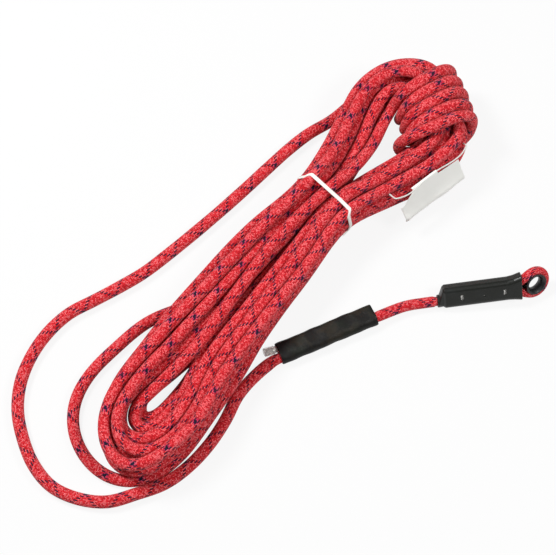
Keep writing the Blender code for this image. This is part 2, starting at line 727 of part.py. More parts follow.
def far_end(start, along):
    """The rope's far end: its cut core, under a cap as thick as the rope."""
    side = unit(np.cross(along, (0.0, 0.0, 1.0)))
    up = np.cross(side, along)

    def place(s, t, h):
        return start + along * s + side * t + up * h

    core = ring_profile(END_CORE_D / 2, steps=24)
    solid_loft("far_end_core", [(FIT, core), (FIT + END_CORE_LENGTH, core)], place, WHITE, 0.8)
    radius = HANK_LOW
    inner = END_CORE_D / 2 + FIT
    stop = FIT + END_CORE_LENGTH + FIT
    sections = [(FIT, ring_profile(inner, steps=24)), (FIT, ring_profile(radius, steps=24)),
                (END_CAP_LENGTH - 1.0, ring_profile(radius, steps=24)),
                (END_CAP_LENGTH, ring_profile(radius - 1.0, steps=24))]
    points, faces = loft(sections, place)
    steps = 24
    faces.append(tuple(len(points) - steps + k for k in range(steps)))
    base = len(points)
    points += [place(stop, t, h) for t, h in ring_profile(inner, steps=24)]
    for k in range(steps):
        n = (k + 1) % steps
        faces.append((k, n, base + n, base + k))
    faces.append(tuple(base + k for k in range(steps)))
    mesh_object("far_end_cap", points, faces, WHITE, 0.4)


# The waist's tie
def waist_tie(route, first_hank, first_wrap):
    """A strap round the strands that pass the waist, with its head under the hank's left side."""
    circles = []
    for a, b in zip(route[first_hank:first_wrap], route[first_hank + 1:first_wrap]):
        if (a[0] - WAIST_X) * (b[0] - WAIST_X) > 0:
            continue
        share = (WAIST_X - a[0]) / (b[0] - a[0]) if b[0] != a[0] else 0.0
        y, z = a[1:] + (b[1:] - a[1:]) * share
        slant = 1.0 / max(abs(unit(b - a)[0]), 0.5)
        circles.append((y, z, HANK_D / 2 * slant + 0.1))
    steps = 72
    angles = [2 * math.pi * k / steps for k in range(steps)]
    inside = hull_profile(circles, FIT, steps)
    strap = (TIE_THICKNESS, TIE_WIDTH)
    head = (TIE_HEAD_HEIGHT, TIE_HEAD_WIDTH)
    # each section: its place round the strap, how far it is moved along it, its thickness and its width
    sections = [(k, 0.0, *strap) for k in range(TIE_HEAD_FIRST + 1)]
    sections.append((TIE_HEAD_FIRST, TIE_HEAD_STEP, *head))
    sections += [(k, 0.0, *head) for k in range(TIE_HEAD_FIRST + 1, TIE_HEAD_LAST)]
    sections.append((TIE_HEAD_LAST, -TIE_HEAD_STEP, *head))
    sections += [(k, 0.0, *strap) for k in range(TIE_HEAD_LAST, steps)]
    points = []
    for k, moved, thick, wide in sections:
        a = angles[k]
        y = inside[k][0] - moved * math.sin(a)
        z = inside[k][1] + moved * math.cos(a)
        for x, out in ((-wide / 2, 0), (wide / 2, 0), (wide / 2, thick), (-wide / 2, thick)):
            points.append((WAIST_X + x, y + out * math.cos(a), z + out * math.sin(a)))
    count = len(sections)
    faces = []
    for k in range(count):
        n = (k + 1) % count
        for side in range(4):
            after = (side + 1) % 4
            faces.append((k * 4 + side, k * 4 + after, n * 4 + after, n * 4 + side))
    mesh_object("waist_tie", points, faces, WHITE, 0.5)


# The sleeve and the splice in it
def splice_in_sleeve():
    along = sleeve_frame()[0]
    pair = [(ROPE_OFFSET, 0.0, SLEEVE_ROPE_D / 2), (TAIL_OFFSET, 0.0, TAIL_D / 2)]
    inner_gap = SLEEVE_PACK
    outer_gap = SLEEVE_PACK + SLEEVE_WALL
    outer = [(0.0, hull_profile(pair, outer_gap - 0.35)), (0.6, hull_profile(pair, outer_gap)),
             (SLEEVE_LENGTH - 0.6, hull_profile(pair, outer_gap)),
             (SLEEVE_LENGTH, hull_profile(pair, outer_gap - 0.35))]
    inner = [(0.0, hull_profile(pair, inner_gap)), (SLEEVE_LENGTH, hull_profile(pair, inner_gap))]
    shell("splice_sleeve", outer, inner, in_sleeve, BLACK, 0.6)

    rope_outer = ring_profile(SLEEVE_ROPE_D / 2, ROPE_OFFSET, steps=24)
    rope_inner = ring_profile(CORE_D / 2 + FIT, ROPE_OFFSET, steps=24)
    core = ring_profile(CORE_D / 2, ROPE_OFFSET, steps=24)
    shell("sleeve_rope_sheath", [(0.0, rope_outer), (SLEEVE_LENGTH, rope_outer)],
          [(0.0, rope_inner), (SLEEVE_LENGTH, rope_inner)], in_sleeve, RED, 0.8)
    solid_loft("sleeve_rope_core", [(0.0, core), (SLEEVE_LENGTH, core)], in_sleeve, WHITE, 0.8)

    tail = ring_profile(TAIL_D / 2, 0.0, steps=20)
    taper = ring_profile(TAIL_D / 4, 0.0, steps=20)
    inside = TAIL_LENGTH - TAIL_OUT
    solid_loft("splice_tail", [(-TAIL_OUT, tail), (0.0, tail), (inside - TAIL_TAPER, tail), (inside, taper)],
               at_tail, WHITE, 0.8)
    tail_cap(at_tail)
    for number, start in enumerate((WHIPPING_IN, inside - WHIPPING_IN - WHIPPING_LENGTH), 1):
        ends = (start, start + WHIPPING_LENGTH)
        shell("tail_whipping_%d" % number,
              [(s, hull_profile(pair, FIT + WHIPPING_THICKNESS)) for s in ends],
              [(s, hull_profile(pair, FIT)) for s in ends], in_sleeve, WHITE, 0.7)
    return in_sleeve(SLEEVE_LENGTH + FIT, ROPE_OFFSET), along


def tail_cap(place):
    """A clear cap shrunk over the tail's cut end."""
    steps = 20
    inner = TAIL_D / 2 + FIT
    outer = inner + CAP_WALL
    open_end = -TAIL_OUT + CAP_COVER
    closed = -TAIL_OUT - FIT
    sections = [(closed, ring_profile(inner, steps=steps)),
                (open_end, ring_profile(inner, steps=steps)),
                (open_end, ring_profile(outer, steps=steps)),
                (closed, ring_profile(outer, steps=steps)),
                (closed - CAP_WALL, ring_profile(outer - CAP_WALL, steps=steps))]
    points, faces = loft(sections, place)
    faces.append(tuple(range(steps)))
    faces.append(tuple(len(points) - steps + k for k in range(steps)))
    mesh_object("tail_end_cap", points, faces, CLEAR, 0.2)


# The eye
def eye_route():
    """One leg, round the thimble and back along the other leg, in the eye's own frame."""
    round_to = 118.0
    bend = [(RING_RADIUS * math.cos(math.radians(a)), RING_RADIUS * math.sin(math.radians(a)))
            for a in np.linspace(-round_to, round_to, 13)]
    flank = [(-12.0, 7.35), (-17.5, 5.35)]
    straight = [(-25.0, LEG_OFFSET), (-34.0, LEG_OFFSET), (-46.0, LEG_OFFSET)]
    cut_leg = NECK_X + NECK_LENGTH + SHOULDER_LENGTH + LEG_END_GAP
    lower = [(x, -y) for x, y in flank + straight]
    points = [(NECK_X, -LEG_OFFSET)] + lower[::-1] + bend + flank + straight + [(cut_leg, LEG_OFFSET)]
    return smooth_curve([(x, y, 0.0) for x, y in points], 6)


def eye_and_cover():
    curve = eye_route()
    keep = [0]
    for index in range(1, len(curve) - 1):
        gone = np.linalg.norm(curve[index] - curve[keep[-1]])
        on_leg = curve[index][0] < -34
        if gone > (12.0 if on_leg else 3.4):
            keep.append(index)
    keep.append(len(curve) - 1)
    points = [at_bend(x, y) for x, y, _ in curve[keep]]
    tube("eye_rope", points, EYE_ROPE_D, 2, RED)
    thimble()
    cover()
    for number, place in enumerate(STITCH_PLACES, 1):
        legs = [(-LEG_OFFSET, 0.0, EYE_ROPE_D / 2), (LEG_OFFSET, 0.0, EYE_ROPE_D / 2)]
        ends = (-place - STITCH_LENGTH / 2, -place + STITCH_LENGTH / 2)
        shell("lock_stitching_%d" % number,
              [(s, hull_profile(legs, FIT + STITCH_THICKNESS)) for s in ends],
              [(s, hull_profile(legs, FIT)) for s in ends], at_eye, WHITE, 0.7)


def thimble_profile():
    """Section of the ring: a channel for the rope, two flat faces, and a bore that widens toward them."""
    channel = EYE_ROPE_D / 2 + FIT
    face = channel + FLANGE_THICKNESS
    rim = math.acos((RING_RADIUS - FLANGE_RADIUS) / channel)
    easing = 0.3
    profile = [(RING_RADIUS - channel * math.cos(a), channel * math.sin(a))
               for a in np.linspace(-rim, rim, 11)]
    profile += [(FLANGE_RADIUS, face - easing), (FLANGE_RADIUS - easing, face)]
    for share in np.linspace(1.0, -1.0, 11):
        profile.append((BORE_RADIUS + BORE_FLARE * abs(share) ** 2.2, face * share))
    profile += [(FLANGE_RADIUS - easing, -face), (FLANGE_RADIUS, easing - face)]
    return profile, face


def thimble():
    """The grooved ring, turned about its own axis."""
    profile, face = thimble_profile()
    steps = 48
    points, faces = [], []
    for k in range(steps):
        angle = 2 * math.pi * k / steps
        for radius, height in profile:
            points.append(at_ring(radius * math.cos(angle), radius * math.sin(angle), height))
    count = len(profile)
    for k in range(steps):
        n = (k + 1) % steps
        for m in range(count):
            a = (m + 1) % count
            faces.append((k * count + m, k * count + a, n * count + a, n * count + m))
    mesh_object("eye_thimble", points, faces, BLACK, 0.5)
    centre = at_ring(0, 0)
    out = unit(at_ring(0, 0, 1) - centre)
    on_face = at_ring((BORE_RADIUS + BORE_FLARE + FLANGE_RADIUS - 0.3) / 2, 0, face)
    print("thimble centre, mm:", [round(float(v), 3) for v in centre])
    print("thimble axis:", [round(float(v), 5) for v in out])
    print("thimble cheek, mm:", [round(float(v), 3) for v in on_face], "face", round(face, 3))


def cover():
    """The moulded cover: a flat body with rounded edges, flared at the eye, and a short round neck."""
    pack = FIT + STITCH_THICKNESS + FIT
    mouth = -COVER_MOUTH
    flare_end = mouth - FLARE_LENGTH
    shoulder = NECK_X + NECK_LENGTH
    body = shoulder + SHOULDER_LENGTH
    neck_bore = EYE_ROPE_D / 2 + FIT
    steps = 48
    outer_gap = pack + COVER_WALL
    half_high = EYE_ROPE_D / 2 + outer_gap
    half_wide = LEG_OFFSET + half_high

    def outside(offset, flare=0.0):
        low = -half_wide + COVER_CORNER - flare * FLARE_LOWER
        high = half_wide - COVER_CORNER + flare * FLARE_UPPER
        rise = half_high - COVER_CORNER
        corners = [(t, h, COVER_CORNER) for t in (low, high) for h in (-rise, rise)]
        return hull_profile(corners, offset, steps)

    def inside(offset, flare=0.0):
        legs = [(-LEG_OFFSET - flare * FLARE_LOWER, 0.0, EYE_ROPE_D / 2),
                (LEG_OFFSET + flare * FLARE_UPPER, 0.0, EYE_ROPE_D / 2)]
        return hull_profile(legs, offset, steps)

    outer = [(NECK_X, ring_profile(NECK_RADIUS - 0.5, -LEG_OFFSET, steps=steps)),
             (NECK_X + 0.7, ring_profile(NECK_RADIUS, -LEG_OFFSET, steps=steps)),
             (shoulder, ring_profile(NECK_RADIUS, -LEG_OFFSET, steps=steps)),
             (shoulder + SHOULDER_LENGTH * 0.6, outside(-1.6)),
             (shoulder + SHOULDER_LENGTH * 0.85, outside(-0.5)),
             (body, outside(0.0)),
             (flare_end, outside(0.0)),
             (mouth - FLARE_LENGTH * 0.55, outside(0.0, 0.3)),
             (mouth - 0.6, outside(0.0, 1.0)),
             (mouth, outside(-0.4, 1.0))]
    inner = [(NECK_X, ring_profile(neck_bore, -LEG_OFFSET, steps=steps)),
             (shoulder + SHOULDER_LENGTH * 0.5, ring_profile(neck_bore, -LEG_OFFSET, steps=steps)),
             (body + COVER_WALL, inside(pack - 0.3)),
             (flare_end, inside(pack)),
             (mouth - FLARE_LENGTH * 0.55, inside(pack, 0.3)),
             (mouth, inside(pack, 1.0))]
    made = shell("eye_cover", outer, inner, at_eye, BLACK, 0.45)
    deep = half_high - COVER_WALL - 0.7
    for number, place in enumerate(SLOT_PLACES, 1):
        low = (-place - SLOT_WIDTH / 2, SLOT_OFFSET - SLOT_LENGTH / 2, deep)
        high = (-place + SLOT_WIDTH / 2, SLOT_OFFSET + SLOT_LENGTH / 2, half_high + 2.0)
        cut(made, box_cutter("slot_%d" % number, at_eye, low, high))
    rim = ring_profile(HOLE_D / 2, -HOLE_PLACE, HOLE_OFFSET, 16)
    points, faces = loft([(h, rim) for h in (deep, half_high + 2.0)], lambda s, t, h: at_eye(t, h, s))
    faces.append(tuple(range(16)))
    faces.append(tuple(16 + k for k in range(16)))
    cut(made, as_cutter(mesh_object("hole", points, faces, BLACK, 0.5)))


def pigtail(start, along):
    """The thin rope from the sleeve to the cover's neck."""
    neck = at_eye(NECK_X - FIT, -LEG_OFFSET)
    into_eye = eye_axes()[0]
    middle = (start + neck) / 2 + np.array([2.0, 3.0, 0.0])
    middle[2] = PIGTAIL_D / 2 + 1.2
    curve = smooth_curve([start + along * PIGTAIL_D * 1.1, middle, neck - into_eye * PIGTAIL_D * 1.1])
    points = np.concatenate([[start], even_points(curve, 9.0), [neck]])
    points[1:-1, 2] = np.maximum(points[1:-1, 2], PIGTAIL_D / 2 + 0.1)
    tube("pigtail_rope", points, PIGTAIL_D, 2, RED)


# The tag
def hinge_line(strands):
    """The straight stretch of the tag's cord, moved out sideways until it is clear of the strands."""
    start = np.array([*HINGE_START, HINGE_HEIGHT])
    end = np.array([*HINGE_END, HINGE_HEIGHT])
    out = unit(np.cross(end - start, (0.0, 0.0, 1.0)))
    middle = (strands[:-1] + strands[1:]) / 2
    near = np.nonzero(np.linalg.norm(middle[:, :2] - (start + end)[:2] / 2, axis=1) < 90)[0]
    first = strands[near]
    along = strands[near + 1] - first
    for _ in range(200):
        line = np.broadcast_to(end - start, along.shape)
        s, t = nearest_on_segments(np.broadcast_to(start, first.shape), line, first, along)
        apart = np.linalg.norm(start + s[:, None] * line - first - t[:, None] * along, axis=1)
        if apart.min() >= HINGE_CLEARANCE:
            break
        start = start + out * 0.1
        end = end + out * 0.1
    return start, end, out


def onto_strand(place, strands, gap):
    """The point nearest to a place that lies a gap outside the nearest strand."""
    a, b = strands[:-1], strands[1:]
    along = b - a
    share = np.clip(((place - a) * along).sum(1) / (along * along).sum(1), 0, 1)
    foot = a + along * share[:, None]
    nearest = foot[np.argmin(np.linalg.norm(foot - place, axis=1))]
    return nearest + unit(place - nearest) * (HANK_D / 2 + gap)


def corner_cutter(name, place, near, far, start, droop):
    """A wedge that takes the hem away beside its middle, and the slip's corner with it."""
    corners = [place(s, t, h) for s, low in ((near, start), (far, start - droop))
               for t in (-8.0, 30.0) for h in (low, 8.0)]
    faces = [(0, 1, 3, 2), (4, 6, 7, 5), (0, 4, 5, 1), (2, 3, 7, 6), (0, 2, 6, 4), (1, 5, 7, 3)]
    return as_cutter(mesh_object(name, corners, faces, WHITE, 0.6))


def tag(strands):
    """A slip with a hem, which turns on the straight stretch of a thin cord."""
    start, end, out = hinge_line(strands)
    along = unit(end - start)
    touch = TAG_CORD_D / 2 + 0.2
    tips = []
    for corner, way in ((start, -1.0), (end, 1.0)):
        knee = corner + along * way * TAG_CORD_BEND - out * TAG_CORD_BEND * 0.5
        tip = onto_strand(knee - out * 2.0 + along * way * 2.0, strands, touch)
        tips.append([knee, tip])
    route = [tips[0][1], tips[0][0], start, start + (end - start) / 2, end, tips[1][0], tips[1][1]]
    tube("tag_cord", route, TAG_CORD_D, 2, WHITE, 0.7)

    def place(s, t, h):
        return start + along * s + out * t + np.array([0.0, 0.0, h])

    hem_in = TAG_CORD_D / 2 + TAG_CLEARANCE
    hem_out = hem_in + TAG_THICKNESS
    half = TAG_THICKNESS / 2
    steps = 9
    middle_line, across = [], []
    t, h = 0.0, 0.0
    for k in range(steps + 1):
        lean = math.radians(TAG_LEAN + TAG_CURL * (k / steps) ** 1.5)
        middle_line.append((t, h))
        across.append((math.cos(lean), math.sin(lean)))
        t += TAG_WIDTH / steps * math.sin(lean)
        h -= TAG_WIDTH / steps * math.cos(lean)
    # section: the hem's round outside, then down the slip's outer face and back up its inner face
    first_turn = math.radians(TAG_LEAN - 25.0)
    ring = [(hem_out * math.cos(a), hem_out * math.sin(a))
            for a in np.linspace(first_turn, first_turn + math.radians(230.0), 14)]
    outer = [(p[0] + half * c[0], p[1] + half * c[1]) for p, c in zip(middle_line[1:], across[1:])]
    inner = [(p[0] - half * c[0], p[1] - half * c[1]) for p, c in zip(middle_line[1:], across[1:])]
    outline = ring[::-1] + outer + inner[::-1]
    points, faces = loft([(TAG_START, outline), (TAG_END, outline)], place)
    count = len(outline)
    faces.append(tuple(range(count)))
    faces.append(tuple(count + k for k in range(count)))
    made = mesh_object("swing_tag", points, faces, WHITE, 0.6)
    hinge = Vector([float(v) * MM for v in (start + end) / 2])
    made.data.transform(Matrix.Translation(-hinge))
    made.location = hinge
    bore = [(hem_in * math.cos(a), hem_in * math.sin(a)) for a in np.radians(np.linspace(0, 345, 24))]
    cut_points, cut_faces = loft([(TAG_START - 2.0, bore), (TAG_END + 2.0, bore)], place)
    cut_faces.append(tuple(range(24)))
    cut_faces.append(tuple(24 + k for k in range(24)))
    cut(made, as_cutter(mesh_object("hem_bore", cut_points, cut_faces, WHITE, 0.6)))
    below_hem = -hem_out - 0.6
    for name, near, far, droop in (("corner_left", HEM_START, TAG_START - 2.0, DROOP_LEFT),
                                   ("corner_right", HEM_END, TAG_END + 2.0, DROOP_RIGHT)):
        cut(made, corner_cutter(name, place, near, far, below_hem, droop))
    print("tag hinge, mm:", [round(float(v), 3) for v in (start + end) / 2])
    print("tag hinge's axis:", [round(float(v), 5) for v in along])


def centre_on_floor():
    """Moves everything so that the origin lies on the floor under the middle of the whole."""
    graph = bpy.context.evaluated_depsgraph_get()
    places = []
    for made in OBJECTS.values():
        shape = made.evaluated_get(graph)
        mesh = shape.to_mesh()
        places += [shape.matrix_world @ vertex.co for vertex in mesh.vertices]
        shape.to_mesh_clear()
    places = np.array(places)
    low, high = places.min(0), places.max(0)
    shift = Vector([-(low[0] + high[0]) / 2, -(low[1] + high[1]) / 2, -low[2]])
    for made in bpy.data.objects:
        made.location = made.location + shift
    print("moved by, mm:", [round(v / MM, 3) for v in shift])
    print("size, mm:", [round(float(v) / MM, 1) for v in high - low])


def main():
    for old in list(bpy.data.objects):
        bpy.data.objects.remove(old, do_unlink=True)
    route, first_hank, first_wrap = rope_in_hank()
    waist_tie(route, first_hank, first_wrap)
    start, along = splice_in_sleeve()
    eye_and_cover()
    pigtail(start, along)
    tag(route[first_hank:first_wrap])
    centre_on_floor()


main()
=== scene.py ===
"""Eye-spliced rope, dressed: its braid, sleeve, ties and tag, lit and seen as in the photograph.

Lengths are in millimetres and angles in degrees. Only the lights, the floor and the materials are in metres.
The rope follows the same settled route as the part's solids.
"""
from math import copysign, cos, hypot, pi, radians, sin

import bmesh
import bpy
import numpy as np
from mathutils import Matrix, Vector
from numpy.linalg import norm


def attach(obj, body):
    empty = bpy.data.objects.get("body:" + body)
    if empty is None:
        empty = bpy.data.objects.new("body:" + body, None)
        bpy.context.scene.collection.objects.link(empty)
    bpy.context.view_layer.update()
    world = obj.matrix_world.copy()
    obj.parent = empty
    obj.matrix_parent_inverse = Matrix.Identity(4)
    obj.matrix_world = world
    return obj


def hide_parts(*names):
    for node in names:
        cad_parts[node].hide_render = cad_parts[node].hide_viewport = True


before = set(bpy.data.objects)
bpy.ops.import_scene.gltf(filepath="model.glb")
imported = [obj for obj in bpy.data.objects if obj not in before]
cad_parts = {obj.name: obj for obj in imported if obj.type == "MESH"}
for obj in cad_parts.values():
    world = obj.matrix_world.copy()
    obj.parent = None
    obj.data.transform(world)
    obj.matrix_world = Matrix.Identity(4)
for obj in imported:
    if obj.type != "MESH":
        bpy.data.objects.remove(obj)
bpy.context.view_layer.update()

MM = 0.001
FIT = 0.3  # gap between pieces that touch

# Rope
ROPE_D = 12.0  # free rope
HANK_D = 11.3  # rope pressed flat against its neighbours in the hank
HANK_GAP = 0.5  # least gap between neighbouring strands of the hank
PIGTAIL_D = 10.4  # rope pulled thin between the sleeve and the eye's cover
SLEEVE_ROPE_D = 10.0  # rope pulled thin inside the sleeve
EYE_ROPE_D = 9.0  # rope pulled thin round the thimble and in the cover

# Hank
WAIST_TURNS = 11  # loops drawn in at the waist
WAIST_RADIUS = 33.5  # bundle at the tie
WAIST_X = 0.0
TIE_WIDTH = 3.6
TIE_THICKNESS = 0.8
WAIST_LIFT = 1.9  # room for the tie under the waist's strands
TIE_HEAD_WIDTH = 6.0
TIE_HEAD_HEIGHT = 4.2
TIE_HEAD_FIRST = 43  # the head's ends, in steps of 5 degrees round the strap
TIE_HEAD_LAST = 46
TIE_HEAD_STEP = 0.16  # its end faces lean by this much

# Turns wound round the head's far bend
WRAP_TURNS = 4.75
WRAP_POINTS = 12  # points in one turn
WRAP_START = (148.0, 8.5)  # middle of the bundle under the first turn
WRAP_END = (122.5, -43.0)  # and under the last
WRAP_START_ANGLE = -12.0  # direction of the first turn, seen from above
WRAP_END_ANGLE = -22.0
WRAP_FIRST = 180.0  # the first turn starts on the bundle's inner side
BUNDLE_HALF_WIDTH = 24.0  # bundle of strands inside the turns
BUNDLE_HALF_HEIGHT = 22.0
WRAP_SLACK = 0.8

# Sleeve over the splice
SLEEVE_START = (-139.0, -67.5)
SLEEVE_ANGLE = -23.1
SLEEVE_LENGTH = 99.0
SLEEVE_WALL = 0.8
TAIL_D = 6.4  # core yarns of the splice's tail
SPLICE_GAP = 1.0  # between the rope and its tail
WHIPPING_THICKNESS = 0.7

# Eye, thimble and cover
EYE_CENTRE = (76.8, -200.6)
EYE_HEIGHT = 17.9
EYE_ANGLE = -40.4  # direction from the cover's neck to the eye, seen from above
EYE_PITCH = 4.2  # the neck end lies lower
EYE_ROLL = 53.7  # the cover lies on its lower edge
EYE_BEND = 22.0  # the ring leans over from the cover by this much
BEND_START = -17.0  # and the rope bends between these places along the eye
BEND_END = -6.5
BORE_RADIUS = 6.4  # at the bore's narrowest
THIMBLE_WALL = 0.8
COVER_MOUTH = 13.6  # cover's mouth, from the eye's centre
COVER_LENGTH = 81.0
NECK_LENGTH = 2.2
SHOULDER_LENGTH = 5.5
LEG_END_GAP = 4.0  # from the cut leg's end to the shoulder
EYE_TURN = 118.0  # the rope follows the ring this far round to either side
EYE_POINTS = 13  # places of the rope round the ring
EYE_FLANK = [(-12.0, 7.35), (-17.5, 5.35)]  # then its places on the way to its straight legs
EYE_STRAIGHT = (-25.0, -34.0, -46.0)  # and along them

# Far end, under the wound turns
END_STRAIGHT = 22.0
END_CORE_LENGTH = 6.0
END_CAP_LENGTH = 8.0

# Tag
HINGE_START = (45.0, -53.1)  # the tag's cord, before it is moved clear of the strands
HINGE_END = (125.0, -64.7)
HINGE_HEIGHT = 48.0
HINGE_CLEARANCE = 8.4  # from the tag's cord to the middle of the nearest strand
HINGE_REACH = 90.0  # strands this near its middle are looked at
HINGE_STEP = 0.1
HINGE_STEPS = 200
TAG_CORD_D = 1.6
TAG_CORD_BEND = 4.0  # past each end of its straight stretch
HEM_START = 14.0  # the hem's ends along the cord
HEM_END = 45.0
TAG_WIDTH = 33.0
TAG_LEAN = 20.0  # the slip hangs a little outward
TAG_CURL = 26.0  # and turns outward this much more at its lower edge
TAG_CLEARANCE = 0.35

# Lowest centre line in the hank: its underside is cut level, a tenth of the cord's diameter deep
HANK_LOW = HANK_D / 2 - HANK_D / 10

# One loop of the hank, clockwise from the waist's left side: the innermost loop, then the one three rings out
LOOP_INNER = [
    (0, 6), (46, 12), (80, 21), (106, 29), (127, 28), (133, 13), (121, -10), (105, -34), (80, -32), (46, -22),
    (0, -10), (-65, -14), (-130, -20), (-195, -27), (-238, -42), (-260, -43), (-275, -38), (-282, -27),
    (-279, -15), (-266, -8), (-240, -10), (-195, -14), (-130, -7), (-62, -1)]
LOOP_OUTER = [
    (0, 42), (42, 42), (80, 51), (114, 56), (148, 44), (167, 13), (155, -24), (137, -51), (100, -58),
    (54, -51), (0, -47), (-65, -48), (-135, -53), (-200, -62), (-243, -73), (-278, -74), (-302, -62),
    (-316, -42), (-312, -15), (-296, 6), (-268, 20), (-212, 29), (-138, 33), (-66, 38)]
# Which ring and which layer the rope is in, by the number of loops made
RINGS = [(0.0, 3.2), (3.2, 0.0), (3.4, 0.0), (7.0, 3.4), (7.25, 3.4), (10.65, 0.0), (10.75, 0.0), (11.0, 1.0)]
LAYERS = [(0.0, 0.0), (3.15, 0.0), (3.65, 1.0), (6.85, 1.0), (7.35, 2.0), (10.75, 2.0), (10.95, 3.0)]
# Rise of each of the head's places, where turns pass underneath
HEAD_RISE = {2: 3.0, 3: 8.0, 4: 12.0, 5: 13.2, 6: 13.2, 7: 13.2, 8: 7.0, 9: 2.0}
FIRST_PLACE = 3  # the hank starts at this place of the loop
LAST_PLACE = 2  # and ends at this one, in the last loop
# First lower bend, which lies loose on the floor: its places 14 to 21
LOOSE_BEND = [
    (-323, -50), (-332, -31), (-334, -17), (-323, 21), (-303, 40), (-276, 49), (-242, 50), (-205, 47)]
LOOSE_PLACE = 14
# Outline of the hank's lower half, for the strands' centre lines
OUTLINE_X = [-320, -312, -294, -273, -244, -212, -171, -140, -90, -45]
OUTLINE_LOW = [-38, -52, -61, -64, -65, -60, -55, -49, -43, -36]
OUTLINE_HIGH = [-30, -15, 6, 19, 26, 31, 34, 36, 40, 45]
OUTLINE_END = -317.0
HEAD_TOP = 51.0  # highest centre line before the wound turns
HEAD_FROM = 60.0
# Outline of the head, and of the open hole between its two legs
HEAD_X = [20, 38, 49, 62, 81, 97, 112, 128, 144, 159]
HEAD_LOW = [-36, -44, -50, -53, -56, -58, -59, -58, -50, -36]
HEAD_HIGH = [35, 40, 43, 46, 50, 54, 56, 56, 51, 42]
HOLE_X = [40, 60, 80, 100, 118]
HOLE_LOW = [-14, -24, -28, -25, -21]
HOLE_HIGH = [-4, 3, 9, 12, 14]
HOLE_LEAN = 0.22  # the hole is seen at a slant, so the legs lean along the view
HOLE_LEFT = 4  # the left leg's last place, and the right leg's first and last
HOLE_RIGHT = (7, 10)
# Last places of the hank: along the hole, then up on its way over the bundle
HANK_END = [(0.0, 1.0, 38.0), (42.0, 6.0, 36.0), (77.0, 12.0, 31.0)]
CLIMB = (104.0, 16.0, 31.0)
SLIDE = 16.0  # how far a place of the hank may slide along it while it settles

# Free rope from the sleeve along the hank's edge and round to its head
FREE_ROUTE = [
    (-152, -67.2), (-162, -66.3), (-174, -65), (-186, -65.2), (-198, -68), (-213, -73), (-234, -78),
    (-253, -80.5), (-274, -80.5), (-296, -77), (-312, -71), (-326, -63), (-343, -53), (-358, -41),
    (-367, -22), (-374, 1), (-373, 18), (-367, 35), (-357, 57), (-341, 78), (-318, 95), (-290, 105),
    (-255, 108), (-215, 97), (-173, 85), (-124, 79), (-71, 75), (-20, 73), (18, 72), (48, 69), (76, 62)]
FREE_STEP = 27.0
MOUTH_STRAIGHT = 4.5  # the rope runs straight out of the sleeve
MOUTH_STEP = 6.0  # its next place is two such steps on

# Rounds in which the rope is drawn into its outline, held in it and then let go
DRAW_ROUNDS = 300
HOLD_ROUNDS = 120
REST_ROUNDS = 200
CLOSED_AT = 0.5  # share of the drawing after which the outline is closed
SHAPED_SHARE = 0.8  # share of the rounds in which the rope keeps its shape
SEARCH_EVERY = 10  # rounds between searches for strands that may touch
SEARCH_REACH = 16.0
PUSHES = 3  # in each round
LEAST_SHARE = 0.15  # keeps a push small beside held points
COUNTED_SHARE = 0.02

# Limits of the hank while it is drawn in
WAIST_REACH = 75.0  # strands this near the tie are drawn in
WAIST_OPEN = 70.0  # from this radius
WAIST_WIDENING = (0.13, 0.35)  # for each millimetre toward the lower end and toward the head
WAIST_Y = -2.0
UNDER_TIE = 20.0  # strands this near the tie leave room for it underneath
WRAP_REACH = 11.0  # strands this near a turn, and this far to its sides, lie inside it
WRAP_SIDE = 36.0
WRAP_ROOM = 15.0  # more room at first inside the turns
HEAD_ROOM = 20.0  # and at the head's top
LAST_BEND_FREE = 0.15  # how freely the last loop's lower bend moves


# Curves
def smooth_curve(points, per_span=12):
    """A smooth curve through the points, with tangents weighted by the spans' lengths."""
    p = np.array(points, float)
    step = norm(np.diff(p, axis=0), axis=1)
    slope = np.diff(p, axis=0) / step[:, None]
    weighted = slope[:-1] * step[1:, None] + slope[1:] * step[:-1, None]
    tangent = np.concatenate([slope[:1], weighted / (step[1:] + step[:-1])[:, None], slope[-1:]])
    out = []
    for i in range(len(p) - 1):
        for k in range(per_span):
            t = k / per_span
            a = 2 * t ** 3 - 3 * t ** 2 + 1
            b = t ** 3 - 2 * t ** 2 + t
            c = -2 * t ** 3 + 3 * t ** 2
            d = t ** 3 - t ** 2
            out.append(a * p[i] + b * step[i] * tangent[i] + c * p[i + 1] + d * step[i] * tangent[i + 1])
    out.append(p[-1])
    return np.array(out)


def length_along(points):
    return np.concatenate([[0.0], np.cumsum(norm(np.diff(points, axis=0), axis=1))])


def even_points(curve, spacing):
    """Points at even steps along a curve."""
    length = length_along(curve)
    count = max(2, int(round(length[-1] / spacing)) + 1)
    at = np.linspace(0.0, length[-1], count)
    return np.stack([np.interp(at, length, curve[:, k]) for k in range(3)], 1)


def unit(vector):
    vector = np.array(vector, float)
    return vector / norm(vector)


def toward_neighbours(values):
    """How far each value is from the middle of its two neighbours. Nothing at the ends."""
    move = np.zeros_like(values)
    move[1:-1] = (values[:-2] + values[2:]) / 2 - values[1:-1]
    return move


# Contact between the strands of a route
def nearest_on_segments(p1, d1, p2, d2):
    """How far along each of two segments their nearest points lie."""
    r = p1 - p2
    a = (d1 * d1).sum(1)
    e = (d2 * d2).sum(1)
    f = (d2 * r).sum(1)
    c = (d1 * r).sum(1)
    b = (d1 * d2).sum(1)
    below = np.maximum(a * e - b * b, 1e-9)
    s = np.clip((b * f - c * e) / below, 0, 1)
    t = (b * s + f) / e
    t_in = np.clip(t, 0, 1)
    s = np.where(t != t_in, np.clip((t_in * b - c) / a, 0, 1), s)
    return s, t_in


def near_pairs(route, reach):
    """Pairs of segments that may touch, leaving out neighbours along the rope."""
    start, end = route[:-1], route[1:]
    middle = (start + end) / 2
    half = norm(end - start, axis=1) / 2
    apart = norm(middle[:, None] - middle[None], axis=2)
    return np.nonzero(np.triu(apart < half[:, None] + half[None] + reach, 2))


